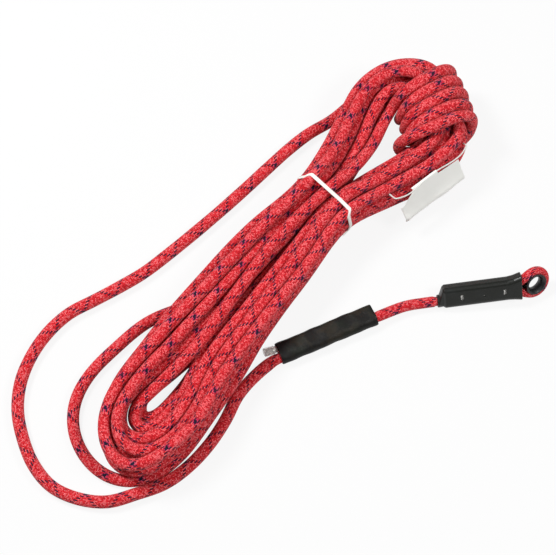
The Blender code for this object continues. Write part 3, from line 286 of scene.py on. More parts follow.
def push_apart(route, free, pairs, radius, strength):
    """Moves strands that lie closer than their radii and the hank's gap apart from one another."""
    i, j = pairs
    along_i, along_j = route[i + 1] - route[i], route[j + 1] - route[j]
    s, t = nearest_on_segments(route[i], along_i, route[j], along_j)
    between = route[i] + s[:, None] * along_i - route[j] - t[:, None] * along_j
    apart = norm(between, axis=1)
    wanted = radius[i] + radius[j] + HANK_GAP
    close = np.nonzero(apart < wanted)[0]
    if not len(close):
        return
    i, j, s, t, wanted = i[close], j[close], s[close], t[close], wanted[close]
    apart = np.maximum(apart[close], 1e-6)
    push = between[close] / apart[:, None] * (wanted - apart)[:, None]
    share_i = np.stack([(1 - s) * free[i], s * free[i + 1]], 1)
    share_j = np.stack([(1 - t) * free[j], t * free[j + 1]], 1)
    total = np.maximum((share_i ** 2).sum(1) + (share_j ** 2).sum(1), LEAST_SHARE)
    move = np.zeros_like(route)
    count = np.zeros(len(route))
    for share, index, sign in ((share_i, i, 1.0), (share_j, j, -1.0)):
        for end in (0, 1):
            gain = sign * share[:, end] / total
            np.add.at(move, index + end, push * gain[:, None])
            np.add.at(count, index + end, (np.abs(gain) > COUNTED_SHARE).astype(float))
    route += move / np.sqrt(np.maximum(count, 1))[:, None] * strength


def settle(route, free, radius, floor, rounds, hold=None, smooth=0.0, fall=0.0, strength=0.5):
    """Lets a route settle: held in shape, drawn down, and pushed clear of itself."""
    start = route.copy()
    route = route.copy()
    for step in range(rounds):
        if step % SEARCH_EVERY == 0:
            i, j = near_pairs(route, SEARCH_REACH)
            moving = (free[i] + free[i + 1] + free[j] + free[j + 1]) > 0
            pairs = (i[moving], j[moving])
        if hold:
            hold(route, step / rounds)
        if smooth and step < rounds * SHAPED_SHARE:
            route += smooth * toward_neighbours(route - start) * free[:, None]
            route[:, 2] -= fall * (free > 0)
        for _ in range(PUSHES):
            push_apart(route, free, pairs, radius, strength)
            route[:, 2] = np.maximum(route[:, 2], floor)
    return route


# Places in the sleeve and the eye
def direction(angle):
    return np.array([cos(radians(angle)), sin(radians(angle)), 0.0])


SLEEVE_PACK = FIT + WHIPPING_THICKNESS + FIT  # from the ropes to the sleeve's inner wall
SLEEVE_LIFT = 0.2  # the sleeve's clearance above the floor
SLEEVE_HEIGHT = SLEEVE_ROPE_D / 2 + SLEEVE_PACK + SLEEVE_WALL + SLEEVE_LIFT
# The rope and its tail lie side by side in the sleeve
PAIR_WIDTH = SLEEVE_ROPE_D + TAIL_D + SPLICE_GAP
ROPE_OFFSET = -(PAIR_WIDTH - SLEEVE_ROPE_D) / 2
TAIL_OFFSET = (PAIR_WIDTH - TAIL_D) / 2


def in_sleeve(s, t, h=0.0):
    along, across = direction(SLEEVE_ANGLE), direction(SLEEVE_ANGLE + 90.0)
    return np.array([*SLEEVE_START, SLEEVE_HEIGHT]) + along * s + across * t + np.array([0.0, 0.0, h])


def eye_axes():
    """Axes of the eye: from the neck to the eye, across it in its own plane, and out of its cheek."""
    flat = direction(EYE_ANGLE)
    side = direction(EYE_ANGLE + 90.0)
    pitch = radians(EYE_PITCH)
    roll = radians(EYE_ROLL)
    along = flat * cos(pitch) + np.array([0.0, 0.0, sin(pitch)])
    lift = np.cross(along, side)
    across = side * cos(roll) + lift * sin(roll)
    out = np.cross(along, across)
    return along, across, out


def at_eye(x, y, z=0.0):
    along, across, out = eye_axes()
    return np.array([*EYE_CENTRE, EYE_HEIGHT]) + along * x + across * y + out * z


LEG_OFFSET = EYE_ROPE_D / 2 + FIT / 2
NECK_X = -(COVER_MOUTH + COVER_LENGTH)
RING_RADIUS = BORE_RADIUS + THIMBLE_WALL + FIT + EYE_ROPE_D / 2


def at_bend(x, y):
    """A place along the eye's rope, which bends out of the cover's line on its way to the ring."""
    if x <= BEND_START:
        return at_eye(x, y)
    radius = (BEND_END - BEND_START) / radians(EYE_BEND)
    turned = (min(x, BEND_END) - BEND_START) / radius
    over = max(x - BEND_END, 0.0)
    c, s = cos(turned), sin(turned)
    return at_eye(BEND_START + radius * s + over * c, y, -radius * (1.0 - c) - over * s)


def hull_profile(circles, offset, steps):
    """Outline of a belt round circles (t, h, radius), pushed out by an offset."""
    out = []
    for k in range(steps):
        angle = 2 * pi * k / steps
        c, s = cos(angle), sin(angle)
        best = max(circles, key=lambda q: q[0] * c + q[1] * s + q[2])
        out.append((best[0] + (best[2] + offset) * c, best[1] + (best[2] + offset) * s))
    return out


def ring_faces(rings, sides, closed=False):
    """Faces between neighbouring rings of points, and from the last ring to the first if closed."""
    faces = []
    for row in range(rings if closed else rings - 1):
        here = row * sides
        there = (row + 1) % rings * sides
        for k in range(sides):
            n = (k + 1) % sides
            faces.append((here + k, here + n, there + n, there + k))
    return faces


# The rope's route
def free_rope():
    """The rope from the sleeve round to the hank's head."""
    mouth = in_sleeve(-FIT, ROPE_OFFSET)
    straight = in_sleeve(-FIT - MOUTH_STRAIGHT, ROPE_OFFSET)
    curve = smooth_curve([mouth, straight] + [(x, y, ROPE_D / 2) for x, y in FREE_ROUTE])
    near = even_points(curve, MOUTH_STEP)[2]
    return np.concatenate([[mouth, straight, near], even_points(curve, FREE_STEP)[1:]])


def hank_places():
    """Each place of the hank's loops before it settles, and how freely it moves."""
    strand = HANK_D + HANK_GAP
    around = len(LOOP_INNER)
    places, free = [], []
    for step in range(FIRST_PLACE, WAIST_TURNS * around + LAST_PLACE + 1):
        turns = step / around
        place = step % around
        ring = np.interp(turns, *zip(*RINGS)) / 3.0
        x, y = np.array(LOOP_INNER[place]) * (1 - ring) + np.array(LOOP_OUTER[place]) * ring
        z = HANK_LOW + np.interp(turns, *zip(*LAYERS)) * strand + HEAD_RISE.get(place, 0.0)
        moves = 1.0
        if LOOSE_PLACE <= step < LOOSE_PLACE + len(LOOSE_BEND):
            x, y = LOOSE_BEND[step - LOOSE_PLACE]
            z = HANK_LOW
            moves = 0.0
        if step >= WAIST_TURNS * around:
            x, y, z = HANK_END[place]
        if turns > WAIST_TURNS - 1 and LOOSE_PLACE <= place < LOOSE_PLACE + len(LOOSE_BEND) - 1:
            moves = LAST_BEND_FREE
        places.append((x, y, z))
        free.append(moves)
    return places, free


def wrap_frame(share):
    """Middle of the bundle and the turn's direction, at a share of the wound turns."""
    centre = np.array(WRAP_START) * (1 - share) + np.array(WRAP_END) * share
    angle = radians(WRAP_START_ANGLE * (1 - share) + WRAP_END_ANGLE * share)
    return centre, np.array([cos(angle), sin(angle)])


BUNDLE_HEIGHT = HANK_D + HANK_GAP + BUNDLE_HALF_HEIGHT
ROUNDNESS = 0.74  # below 1 the turns are squarer than an ellipse


def wrap_places():
    """The wound turns: from the head's top, round the bundle, to its underside."""
    strand = HANK_D + HANK_GAP
    steps = int(WRAP_TURNS * WRAP_POINTS)
    places = [CLIMB]
    for step in range(steps + 1):
        share = step / steps
        turn = radians(WRAP_FIRST - 360.0 * WRAP_TURNS * share)
        c, s = cos(turn), sin(turn)
        centre, across = wrap_frame(share)
        wide = BUNDLE_HALF_WIDTH + strand / 2 + WRAP_SLACK
        high = BUNDLE_HALF_HEIGHT + strand / 2
        x, y = centre + across * wide * copysign(abs(c) ** ROUNDNESS, c)
        z = BUNDLE_HEIGHT + high * copysign(abs(s) ** ROUNDNESS, s)
        places.append((x, y, z))
    centre, across = wrap_frame(1.0)
    tail = END_STRAIGHT + END_CORE_LENGTH + END_CAP_LENGTH / 2
    x, y = centre - across * tail
    places.append((x, y, HANK_LOW))
    return places


def rope_route():
    """The whole rope, settled: the free rope, the hank and the wound turns."""
    free_part = free_rope()
    hank, hank_free = hank_places()
    wraps = wrap_places()
    route = np.concatenate([free_part, np.array(hank), np.array(wraps)])
    free = np.concatenate([np.zeros(len(free_part)), hank_free, np.ones(len(wraps))])
    first_hank = len(free_part)
    first_wrap = first_hank + len(hank)
    index = np.arange(len(route))
    in_hank = (index >= first_hank) & (index < first_wrap) & (free > 0)
    place = (index - first_hank + FIRST_PLACE) % len(LOOP_INNER)
    coiled = in_hank & (index < first_wrap - len(HANK_END) - 1)
    floor = np.full(len(route), HANK_LOW)
    floor[:first_hank] = 0.0
    radii = np.full(len(route) - 1, HANK_D / 2)
    radii[:first_hank] = ROPE_D / 2
    start_x = route[:, 0].copy()

    def keep_between(places, chosen, x_table, low, high):
        """Keeps the chosen places between two edges, which are given at a row of x."""
        x = places[chosen, 0]
        lowest, highest = np.interp(x, x_table, low), np.interp(x, x_table, high)
        places[chosen, 1] = np.clip(places[chosen, 1], lowest, highest)

    def draw_in(places, share):
        """Holds the hank in at the waist, inside the wound turns and inside its outline."""
        closing = min(1.0, share / CLOSED_AT)
        slid = np.clip(places[:, 0], start_x - SLIDE, start_x + SLIDE)
        places[in_hank, 0] = slid[in_hank]
        radius = HANK_D / 2
        goal = WAIST_RADIUS - radius
        from_tie = places[:, 0] - WAIST_X
        waist = np.nonzero(in_hank & (np.abs(from_tie) < WAIST_REACH))[0]
        away = from_tie[waist]
        widening = np.where(away > 0, WAIST_WIDENING[1], WAIST_WIDENING[0])
        limit = WAIST_OPEN - (WAIST_OPEN - goal) * closing + np.abs(away) * widening
        middle = np.array([WAIST_Y, radius + goal + WAIST_LIFT])
        out = places[waist, 1:] - middle
        far = norm(out, axis=1)
        out *= np.minimum(1.0, limit / np.maximum(far, 1e-6))[:, None]
        places[waist, 1:] = middle + out
        at_tie = in_hank & (np.abs(from_tie) < UNDER_TIE)
        places[at_tie, 2] = np.maximum(places[at_tie, 2], radius + WAIST_LIFT)
        for part in (0.0, 0.25, 0.5, 0.75, 1.0):
            centre, across = wrap_frame(part)
            along = np.array([across[1], -across[0]])
            offset = places[:, :2] - centre
            near = (np.abs(offset @ along) < WRAP_REACH) & (np.abs(offset @ across) < WRAP_SIDE)
            chosen = np.nonzero(coiled & near)[0]
            wide = BUNDLE_HALF_WIDTH - radius + (1 - closing) * WRAP_ROOM
            high = BUNDLE_HALF_HEIGHT - radius + (1 - closing) * WRAP_ROOM
            sideways = offset[chosen] @ across
            up = places[chosen, 2] - BUNDLE_HEIGHT
            places[chosen, :2] += (np.clip(sideways, -wide, wide) - sideways)[:, None] * across
            places[chosen, 2] += np.clip(up, -high, high) - up
        x = places[:, 0]
        head = coiled & (x > HEAD_FROM)
        places[head, 2] = np.minimum(places[head, 2], HEAD_TOP + (1 - closing) * HEAD_ROOM)
        legs = np.nonzero(coiled & (x > HEAD_X[0]) & (x < HEAD_X[-1]))[0]
        keep_between(places, legs, HEAD_X, HEAD_LOW, HEAD_HIGH)
        by_hole = coiled & (x > HOLE_X[0]) & (x < HOLE_X[-1])
        for leg, edges, keep in ((place <= HOLE_LEFT, HOLE_HIGH, np.maximum),
                                 ((place >= HOLE_RIGHT[0]) & (place <= HOLE_RIGHT[1]), HOLE_LOW, np.minimum)):
            chosen = np.nonzero(by_hole & leg)[0]
            edge = np.interp(places[chosen, 0], HOLE_X, edges) + HOLE_LEAN * (HEAD_TOP - places[chosen, 2])
            places[chosen, 1] = keep(places[chosen, 1], edge * closing)
        low = np.nonzero(in_hank & (places[:, 0] < OUTLINE_X[-1]))[0]
        keep_between(places, low, OUTLINE_X, OUTLINE_LOW, OUTLINE_HIGH)
        places[low, 0] = np.maximum(places[low, 0], OUTLINE_END)

    def hold(places, share):
        """Keeps to the limits as they are once the outline is closed, at any share of the rounds."""
        draw_in(places, 1.0)

    route = settle(route, free, radii, floor, DRAW_ROUNDS, draw_in, smooth=0.15, fall=0.05, strength=0.7)
    route = settle(route, free, radii, floor, HOLD_ROUNDS, hold)
    route = settle(route, free, radii, floor, REST_ROUNDS)
    route[-1, 2] = route[-2, 2]
    return route, first_hank, first_wrap


def eye_route():
    """One leg, round the thimble and back along the other leg, in the eye's own frame."""
    bend = [(RING_RADIUS * cos(radians(a)), RING_RADIUS * sin(radians(a)))
            for a in np.linspace(-EYE_TURN, EYE_TURN, EYE_POINTS)]
    upper = EYE_FLANK + [(x, LEG_OFFSET) for x in EYE_STRAIGHT]
    lower = [(x, -y) for x, y in upper]
    cut_leg = NECK_X + NECK_LENGTH + SHOULDER_LENGTH + LEG_END_GAP
    points = [(NECK_X, -LEG_OFFSET)] + lower[::-1] + bend + upper + [(cut_leg, LEG_OFFSET)]
    return smooth_curve([(x, y, 0.0) for x, y in points], 6)


def hinge_line(strands):
    """The straight stretch of the tag's cord, moved out sideways until it is clear of the strands."""
    start = np.array([*HINGE_START, HINGE_HEIGHT])
    end = np.array([*HINGE_END, HINGE_HEIGHT])
    out = unit(np.cross(end - start, (0.0, 0.0, 1.0)))
    middle = (strands[:-1] + strands[1:]) / 2
    near = np.nonzero(norm(middle[:, :2] - (start + end)[:2] / 2, axis=1) < HINGE_REACH)[0]
    first = strands[near]
    along = strands[near + 1] - first
    for _ in range(HINGE_STEPS):
        line = np.broadcast_to(end - start, along.shape)
        s, t = nearest_on_segments(np.broadcast_to(start, first.shape), line, first, along)
        apart = norm(start + s[:, None] * line - first - t[:, None] * along, axis=1)
        if apart.min() >= HINGE_CLEARANCE:
            break
        start = start + out * HINGE_STEP
        end = end + out * HINGE_STEP
    return start, end, out


def onto_strand(place, strands, gap):
    """The point nearest to a place that lies a gap outside the nearest strand."""
    a, b = strands[:-1], strands[1:]
    along = b - a
    share = np.clip(((place - a) * along).sum(1) / (along * along).sum(1), 0, 1)
    foot = a + along * share[:, None]
    nearest = foot[np.argmin(norm(foot - place, axis=1))]
    return nearest + unit(place - nearest) * (HANK_D / 2 + gap)


# Where the photograph was taken from, and its frame
PHOTO_WIDTH = 556
FOCAL_PIXELS = 1423.0
SENSOR = 36.0
CAMERA_PLACE = (-328.6, -287.4, 1296.8)
CAMERA_TARGET = (15.5, 35.7, 0.0)
CAMERA_REACH = 20.0  # in metres

# From the route's own axes to the frame's, whose origin is under the middle of the whole
SHIFT = np.array([96.925, 47.894, 0.0])

# Detail of the dressed rope
ROPE_SIDES = 24
RING_STEP = 3.4
VISUAL_HANK_D = 11.5
LAY_LENGTH = 34.0  # one turn of a yarn round the rope
WANDER = ((0.18, 310.0, 0.0), (0.11, 127.0, 1.0))  # the braid's uneven turn: share, length, start
YARNS = 28  # yarns that run each way
TRACERS = (0, 1, 2)  # dark ones among them
YARN_VARIETY = 1.0  # how far the yarns differ in brightness
FLUFF = (0.5, 0.04, 0.2)  # colour round the dark yarns' crossings

# The route made fine and even
ROUTE_STEP = 6.8
HELD_PAST = 30.0  # held from the sleeve to this far past the hank's start
HELD_END = 4  # and its last points
EVENING_ROUNDS = 14
EVENING_GAINS = (0.5, -0.52)
CLEARING_ROUNDS = 60
SPREADING_ROUNDS = 45  # rounds of these in which a move is spread to the neighbours
SPREADING = 0.3
CLEARING_PUSHES = 2
CLEARING_REACH = 8.0
CLEARING_STRENGTH = 0.5
FAR_ALONG = 5  # strands this many steps apart along the rope may touch
UNEVEN = 0.07  # the rope's thickness varies by this, over these lengths
UNEVEN_LENGTHS = (9.0, 37.0)
MOUTH_THICKNESS = ((0.0, SLEEVE_ROPE_D), (5.0, 10.5), (13.0, 11.8))  # how it widens out of the sleeve
PRESSED_FROM = -40.0  # it gets thinner between these places, counted from the hank's start
PRESSED_TO = 60.0

# The thin rope between the sleeve and the cover
PIGTAIL_BOW = (2.0, 3.0, 0.0)  # its middle, off the straight line
PIGTAIL_LIFT = 1.2  # and above the floor
PIGTAIL_STRAIGHT = 1.1  # diameters straight out of each end
PIGTAIL_IN = (3.0, 1.0)  # lengths hidden in the sleeve and in the cover
HIDDEN_THINNER = 0.1  # these are a little thinner than the ropes that they run into

# Rings of the thin rope and of the eye's rope, and where along its yarns each one's braid starts
PIGTAIL_STEP = RING_STEP * 0.7
PIGTAIL_BRAID = 12.0
EYE_STEP = RING_STEP * 0.6
EYE_BRAID = 30.0

# The sleeve's uneven skin: height, length along it, waves round it, start
SLEEVE_LUMPS = ((0.16, 5.1, 2.0, 0.0), (0.13, 2.7, -3.0, 1.0), (0.12, 11.0, 1.0, 2.0))
SLEEVE_SIDES = 48
SLEEVE_RINGS = 67
SLEEVE_EDGE = 1.2  # its ends are drawn in over this length, this deep
SLEEVE_EDGE_DEPTH = 0.35
SLEEVE_MIDDLE = 0.35  # its sections' middles lie at this share of their width

# The tag's cord and slip
PLY_RADIUS = 0.42
PLY_PITCH = 3.2
PLY_SIDES = 8
CORD_STEP = 0.5
CORD_TIP = 2.0  # past its bend, down to the strand
CORD_GAP = 0.2  # from the cord to the strand that it ends on
SLIP_THICKNESS = 0.25
SLIP_TURN = 25.5  # below this much of its width the slip turns back down
SLIP_TURN_BACK = 25.0  # and ends at this angle
SLIP_LEAN = 6.0  # the slip hangs this much further out than the part's plain one
SLIP_LEAN_FROM = 4.0  # from this far below the cord
SLIP_START = -3.0  # the slip's ends along the cord
SLIP_END = 71.0
SLIP_DROOP = (10.5, 2.0)  # how far its upper corners hang down
SLIP_SHOULDER = 2.7  # its upper edge beside the hem
SLIP_HEIGHT = TAG_WIDTH + 0.4  # a little more than the part's plain one
SLIP_STEPS = 34  # in its curve down, as it is worked out
SLIP_ROWS = 30  # and in its mesh
SLIP_COLUMNS = 62
# Waves of the slip: height, length along the cord, length down, start, and where they are full
SLIP_WAVES = ((0.45, 9.0, 14.0, 0.0, 20.0), (0.25, 4.1, -7.0, 1.0, 25.0))
SLIP_END_CURL = 1.8  # its first end curls in by this much, over this length
SLIP_END_CURLED = 4.0
HEM_RADIUS = TAG_CORD_D / 2 + TAG_CLEARANCE + 0.15  # with a little slack
HEM_AROUND = 215.0  # how far round the cord the hem goes
HEM_POINTS = 12

# The waist's strap
STRAP_SIDES = 72
STRAP_LEAN = 6.0  # the strap's top lies this much nearer the head than its sides
STRAP_BACK = 5.0  # and all of it lies this much nearer the lower end
STRAP_GAP = 0.1  # from the strands
STRAP_EDGE = 0.2  # its upper edges are cut by this much
STRAP_LOWEST = 0.05  # above the floor
LEAST_CROSSING = 0.5  # limits how wide a strand that crosses the strap at a slant is taken to be
FREE_PART = 12  # one part in so many of the rope's line, its first, runs free beside the strap

# Room, in metres
FLOOR_SIZE = 6.0
FLOOR_DROP = 0.0004  # keeps the floor just below the rope's level undersides
SEEN_WHITE = 0.88  # how white the floor is to the camera and in reflections
WORLD_STRENGTH = 0.2
# Each lamp's name, place, power and size
LAMPS = (("key", (-0.25, 0.9, 1.35), 24.0, 0.4), ("fill", (0.55, -0.85, 1.35), 14.0, 0.5))


# Meshes in the frame
def in_frame(points):
    """The points in metres, in the frame's axes."""
    return ((np.asarray(points) + SHIFT) * MM).tolist()


def add_object(name, data):
    made = bpy.data.objects.new(name, data)
    bpy.context.scene.collection.objects.link(made)
    return made


def new_mesh(name, points, faces, smooth_angle=40.0):
    data = bpy.data.meshes.new(name)
    data.from_pydata(in_frame(points), [], faces)
    bm = bmesh.new()
    bm.from_mesh(data)
    bmesh.ops.recalc_face_normals(bm, faces=bm.faces)
    bm.to_mesh(data)
    bm.free()
    data.shade_smooth()
    data.set_sharp_from_angle(angle=radians(smooth_angle))
    return add_object(name, data)


def carried_frames(points):
    """Two directions across a line at each of its points, carried along it without twist."""
    tangent = np.gradient(points, axis=0)
    tangent /= norm(tangent, axis=1)[:, None]
    side = np.zeros_like(points)
    first = np.cross(tangent[0], (0.0, 0.0, 1.0))
    side[0] = unit(first if norm(first) > 0.1 else np.cross(tangent[0], (1.0, 0.0, 0.0)))
    for k in range(1, len(points)):
        carried = side[k - 1] - tangent[k] * (side[k - 1] @ tangent[k])
        side[k] = unit(carried)
    up = np.cross(tangent, side)
    return side, up


def tube_rings(points, radii, sides):
    """The places of a round tube's rings, and the faces between them and at its ends."""
    side, up = carried_frames(points)
    turn = 2 * pi * np.arange(sides) / sides
    round_side = np.cos(turn)[None, :, None] * side[:, None]
    round_up = np.sin(turn)[None, :, None] * up[:, None]
    places = (points[:, None] + (round_side + round_up) * radii[:, None, None]).reshape(-1, 3)
    places[:, 2] = np.maximum(places[:, 2], 0.0)
    faces = ring_faces(len(points), sides)
    faces.append(tuple(reversed(range(sides))))
    faces.append(tuple(range(len(places) - sides, len(places))))
    return places, faces


def braid_tube(name, points, radii, start=0.0):
    """A round tube along points, with the place round and along it kept for the braid."""
    sides = ROPE_SIDES
    along = start + length_along(points)
    places, faces = tube_rings(points, radii, sides)
    data = bpy.data.meshes.new(name)
    data.from_pydata(in_frame(places), [], faces)
    layer = data.uv_layers.new(name="braid")
    wander = sum(share * np.sin(along / length + first) for share, length, first in WANDER)
    uv = np.zeros((len(data.loops), 2))
    for face_index in range((len(points) - 1) * sides):
        row, k = divmod(face_index, sides)
        for corner, (up, turn) in enumerate(((0, 0), (0, 1), (1, 1), (1, 0))):
            uv[face_index * 4 + corner] = ((k + turn) / sides + wander[row + up], along[row + up])
    uv[:, 1] /= LAY_LENGTH
    layer.data.foreach_set("uv", uv.ravel())
    data.shade_smooth()
    data.set_sharp_from_angle(angle=radians(60))
    return add_object(name, data), float(along[-1] - start)


# Materials, whose noise scales are per metre
class Nodes:
    """Short calls for building a material's node tree."""

    def __init__(self, name):
        self.material = bpy.data.materials.new(name)
        self.material.use_nodes = True
        self.tree = self.material.node_tree
        self.shader = self.tree.nodes["Principled BSDF"]

    def value(self, socket, given):
        if isinstance(given, bpy.types.NodeSocket):
            self.tree.links.new(given, socket)
        elif isinstance(given, tuple) and socket.type == "RGBA":
            socket.default_value = (*given, 1.0)
        else:
            socket.default_value = given

    def new(self, kind, *inputs):
        """A node of this kind, with its first inputs given."""
        node = self.tree.nodes.new(kind)
        for socket, given in zip(node.inputs, inputs):
            self.value(socket, given)
        return node

    def math(self, operation, *inputs):
        node = self.new("ShaderNodeMath", *inputs)
        node.operation = operation
        return node.outputs[0]

    def add(self, a, b):
        return self.math("ADD", a, b)

    def minus(self, a, b):
        return self.math("SUBTRACT", a, b)

    def times(self, a, b):
        return self.math("MULTIPLY", a, b)

    def place(self):
        return self.new("ShaderNodeTexCoord").outputs["Object"]

    def noise(self, scale, detail=3.0, roughness=0.55, vector=None):
        node = self.new("ShaderNodeTexNoise")
        for name, given in (("Scale", scale), ("Detail", detail), ("Roughness", roughness),
                            ("Vector", vector or self.place())):
            self.value(node.inputs[name], given)
        return node.outputs["Fac"]

    def combine(self, x, y, z):
        return self.new("ShaderNodeCombineXYZ", x, y, z).outputs[0]

    def mix(self, share, first, second):
        """A colour between two others."""
        node = self.new("ShaderNodeMix", share)
        node.data_type = "RGBA"
        self.value(node.inputs[6], first)
        self.value(node.inputs[7], second)
        return node.outputs[2]

    def mix_value(self, share, first, second):
        """A number between two others."""
        node = self.new("ShaderNodeMix", share)
        node.data_type = "FLOAT"
        self.value(node.inputs[2], first)
        self.value(node.inputs[3], second)
        return node.outputs[0]

    def ramp(self, share, low, high):
        """A smooth step of a value from low to high."""
        node = self.new("ShaderNodeMapRange", share, low, high)
        node.interpolation_type = "SMOOTHSTEP"
        return node.outputs[0]

    def bump(self, height, strength, distance):
        node = self.new("ShaderNodeBump")
        for name, given in (("Strength", strength), ("Distance", distance), ("Height", height)):
            self.value(node.inputs[name], given)
        self.value(self.shader.inputs["Normal"], node.outputs[0])

    def set(self, **given):
        for name, value in given.items():
            self.value(self.shader.inputs[name.replace("_", " ")], value)
        return self.material


def shade_of(colour, strength):
    return tuple(part * strength for part in colour)


def braid_material(name, body, light, tracer):
    """A tight braid: two sets of yarns that cross over and under in pairs, a few of them dark, with painted
    shade in the hollows between them and a painted highlight on their crowns.
    """
    n = Nodes(name)
    uv = n.new("ShaderNodeUVMap")
    uv.uv_map = "braid"
    u, v, _ = n.new("ShaderNodeSeparateXYZ", uv.outputs[0]).outputs
    right = n.times(n.add(u, v), YARNS)
    left = n.times(n.minus(u, v), YARNS)
    right_cell = n.math("FLOOR", right)
    left_cell = n.math("FLOOR", left)
    # two over, two under
    phase = n.math("FLOORED_MODULO", n.add(right_cell, left_cell), 4.0)
    right_on_top = n.math("LESS_THAN", phase, 1.5)
    top_cell = n.mix_value(right_on_top, left_cell, right_cell)
    in_yarn = n.math("FRACT", n.mix_value(right_on_top, left, right))
    across = n.math("ABSOLUTE", n.minus(in_yarn, 0.5))
    # the place along the stretch that a yarn shows before it dips under
    crossed = n.add(top_cell, n.mix_value(right_on_top, right, left))
    shown = n.times(n.math("FLOORED_MODULO", crossed, 2.0), 0.5)
    dip = n.math("ABSOLUTE", n.minus(shown, 0.5))
    crown = n.add(n.math("POWER", n.times(across, 2.0), 2.0), n.math("POWER", n.times(dip, 1.9), 4.0))
    height = n.minus(1.0, crown)
    # each stretch has its own brightness
    chance = n.new("ShaderNodeTexWhiteNoise")
    chance.noise_dimensions = "3D"
    stretch = n.math("FLOOR", n.times(crossed, 0.5))
    n.value(chance.inputs["Vector"], n.combine(top_cell, stretch, right_on_top))
    filament = n.noise(1.0, 2.0, 0.5, n.combine(n.times(across, 14.0), n.times(crossed, 0.9), top_cell))
    # lit mixes the relief's painted shade and highlight with each stretch's own tone and its filaments
    lit = n.add(height, n.times(n.minus(chance.outputs[0], 0.5), YARN_VARIETY))
    lit = n.add(lit, n.times(n.minus(filament, 0.5), 0.5))
    yarn_index = n.math("FLOORED_MODULO", top_cell, YARNS)
    is_tracer = 0.0
    for index in TRACERS:
        is_tracer = n.math("MAXIMUM", n.math("COMPARE", yarn_index, float(index), 0.1), is_tracer)
    # painted shade: the relief's low parts darken nearly to black; painted highlight: its high parts turn to
    # the pale light colour
    red = n.mix(n.ramp(lit, -0.38, 0.58), shade_of(body, 0.05), body)
    red = n.mix(n.times(n.ramp(lit, 0.74, 1.25), 0.95), red, light)
    # fluff of the dark yarns dulls the red round their crossings
    shift = (YARNS - TRACERS[-1] - 1) / 2
    near = [n.math("ABSOLUTE", n.minus(n.math("FLOORED_MODULO", n.add(way, shift), YARNS), YARNS / 2))
            for way in (right, left)]
    halo = n.minus(1.0, n.ramp(n.math("MAXIMUM", *near), 1.0, 4.6))
    red = n.mix(n.times(halo, 0.5), red, FLUFF)
    # the dark yarns get painted shade and a painted highlight too: a darker copy of their colour in the
    # relief's hollows, a lighter one on its crowns
    dark = n.mix(n.ramp(lit, -0.2, 1.2), shade_of(tracer, 0.25), shade_of(tracer, 1.6))
    share = n.add(n.times(halo, 0.04), 0.96)
    colour = n.mix(n.times(is_tracer, share), red, dark)
    soiled = n.mix(n.times(n.ramp(n.noise(38.0, 3.0), 0.5, 0.75), 0.18), colour, shade_of(body, 0.6))
    n.bump(height, 0.7, 0.0007)
    return n.set(Base_Color=soiled, Roughness=0.72, Sheen_Weight=0.08, Sheen_Roughness=0.5,
                 Specular_IOR_Level=0.2)


def moulded_material(name, colour, worn, roughness, bump):
    """Moulded rubber or plastic: a fine grain, faint clouding and rubbed places."""
    n = Nodes(name)
    cloud = n.noise(55.0, 4.0)
    fine = n.noise(900.0, 3.0)
    shade = n.mix(n.ramp(cloud, 0.4, 0.75), colour, worn)
    rough = n.add(n.times(fine, 0.18), roughness - 0.09)
    n.bump(n.add(n.times(cloud, 1.4), n.times(fine, 0.35)), bump, 0.0005)
    return n.set(Base_Color=shade, Roughness=rough)


def sleeve_material():
    """Black shrunk tube, with dull brown, green and grey patches and a scuffed skin."""
    n = Nodes("sleeve")
    brown = n.mix(n.ramp(n.noise(70.0, 3.0), 0.45, 0.62), (0.005, 0.0045, 0.004), (0.016, 0.012, 0.007))
    green = n.mix(n.times(n.ramp(n.noise(46.0, 2.0, 0.5), 0.52, 0.66), 0.7), brown, (0.008, 0.011, 0.007))
    scuffs = n.times(n.ramp(n.noise(150.0, 5.0, 0.7), 0.6, 0.72), 0.6)
    scuffed = n.mix(scuffs, green, (0.032, 0.031, 0.03))
    fine = n.noise(700.0, 3.0)
    n.bump(n.add(n.noise(160.0, 4.0), n.times(fine, 0.3)), 0.5, 0.0008)
    return n.set(Base_Color=scuffed, Roughness=n.add(n.times(fine, 0.25), 0.42), Specular_IOR_Level=0.25)


def slip_material():
    """White coated fabric: a fine weave, faint creases and a slightly grey tone."""
    n = Nodes("slip")
    cloud = n.noise(60.0, 4.0)
    weave = n.noise(1500.0, 2.0)
    crease = n.ramp(n.noise(90.0, 2.0, 0.4), 0.45, 0.6)
    colour = n.mix(n.times(cloud, 0.5), (0.94, 0.94, 0.9), (0.86, 0.86, 0.82))
    n.bump(n.add(n.times(weave, 0.4), crease), 0.25, 0.0005)
    return n.set(Base_Color=colour, Roughness=0.6, Sheen_Weight=0.1, Specular_IOR_Level=0.35)


def yarn_material(name, colour, dark, scale, angle):
    """Plain yarns or thread: fine ridges that run across one direction of the piece."""
    n = Nodes(name)
    turned = n.new("ShaderNodeMapping", n.place())
    turned.inputs["Rotation"].default_value = (0.0, 0.0, radians(angle))
    wave = n.new("ShaderNodeTexWave", turned.outputs[0])
    for setting, given in (("Scale", scale), ("Distortion", 0.6), ("Detail", 2.0)):
        wave.inputs[setting].default_value = given
    ridge = wave.outputs["Fac"]
    n.bump(n.add(ridge, n.times(n.noise(1800.0, 2.0), 0.3)), 0.5, 0.0003)
    return n.set(Base_Color=n.mix(ridge, dark, colour), Roughness=0.75, Sheen_Weight=0.2)


def clear_material(name, tint, clearness):
    """Shrunk clear plastic: mostly see-through, with a milky haze and fine wrinkles."""
    n = Nodes(name)
    haze = n.ramp(n.noise(420.0, 3.0), 0.3, 0.8)
    n.bump(n.noise(260.0, 2.0), 0.3, 0.0004)
    return n.set(Base_Color=n.mix(haze, tint, (0.95, 0.95, 0.93)), Roughness=0.16,
                 Transmission_Weight=clearness, IOR=1.2)


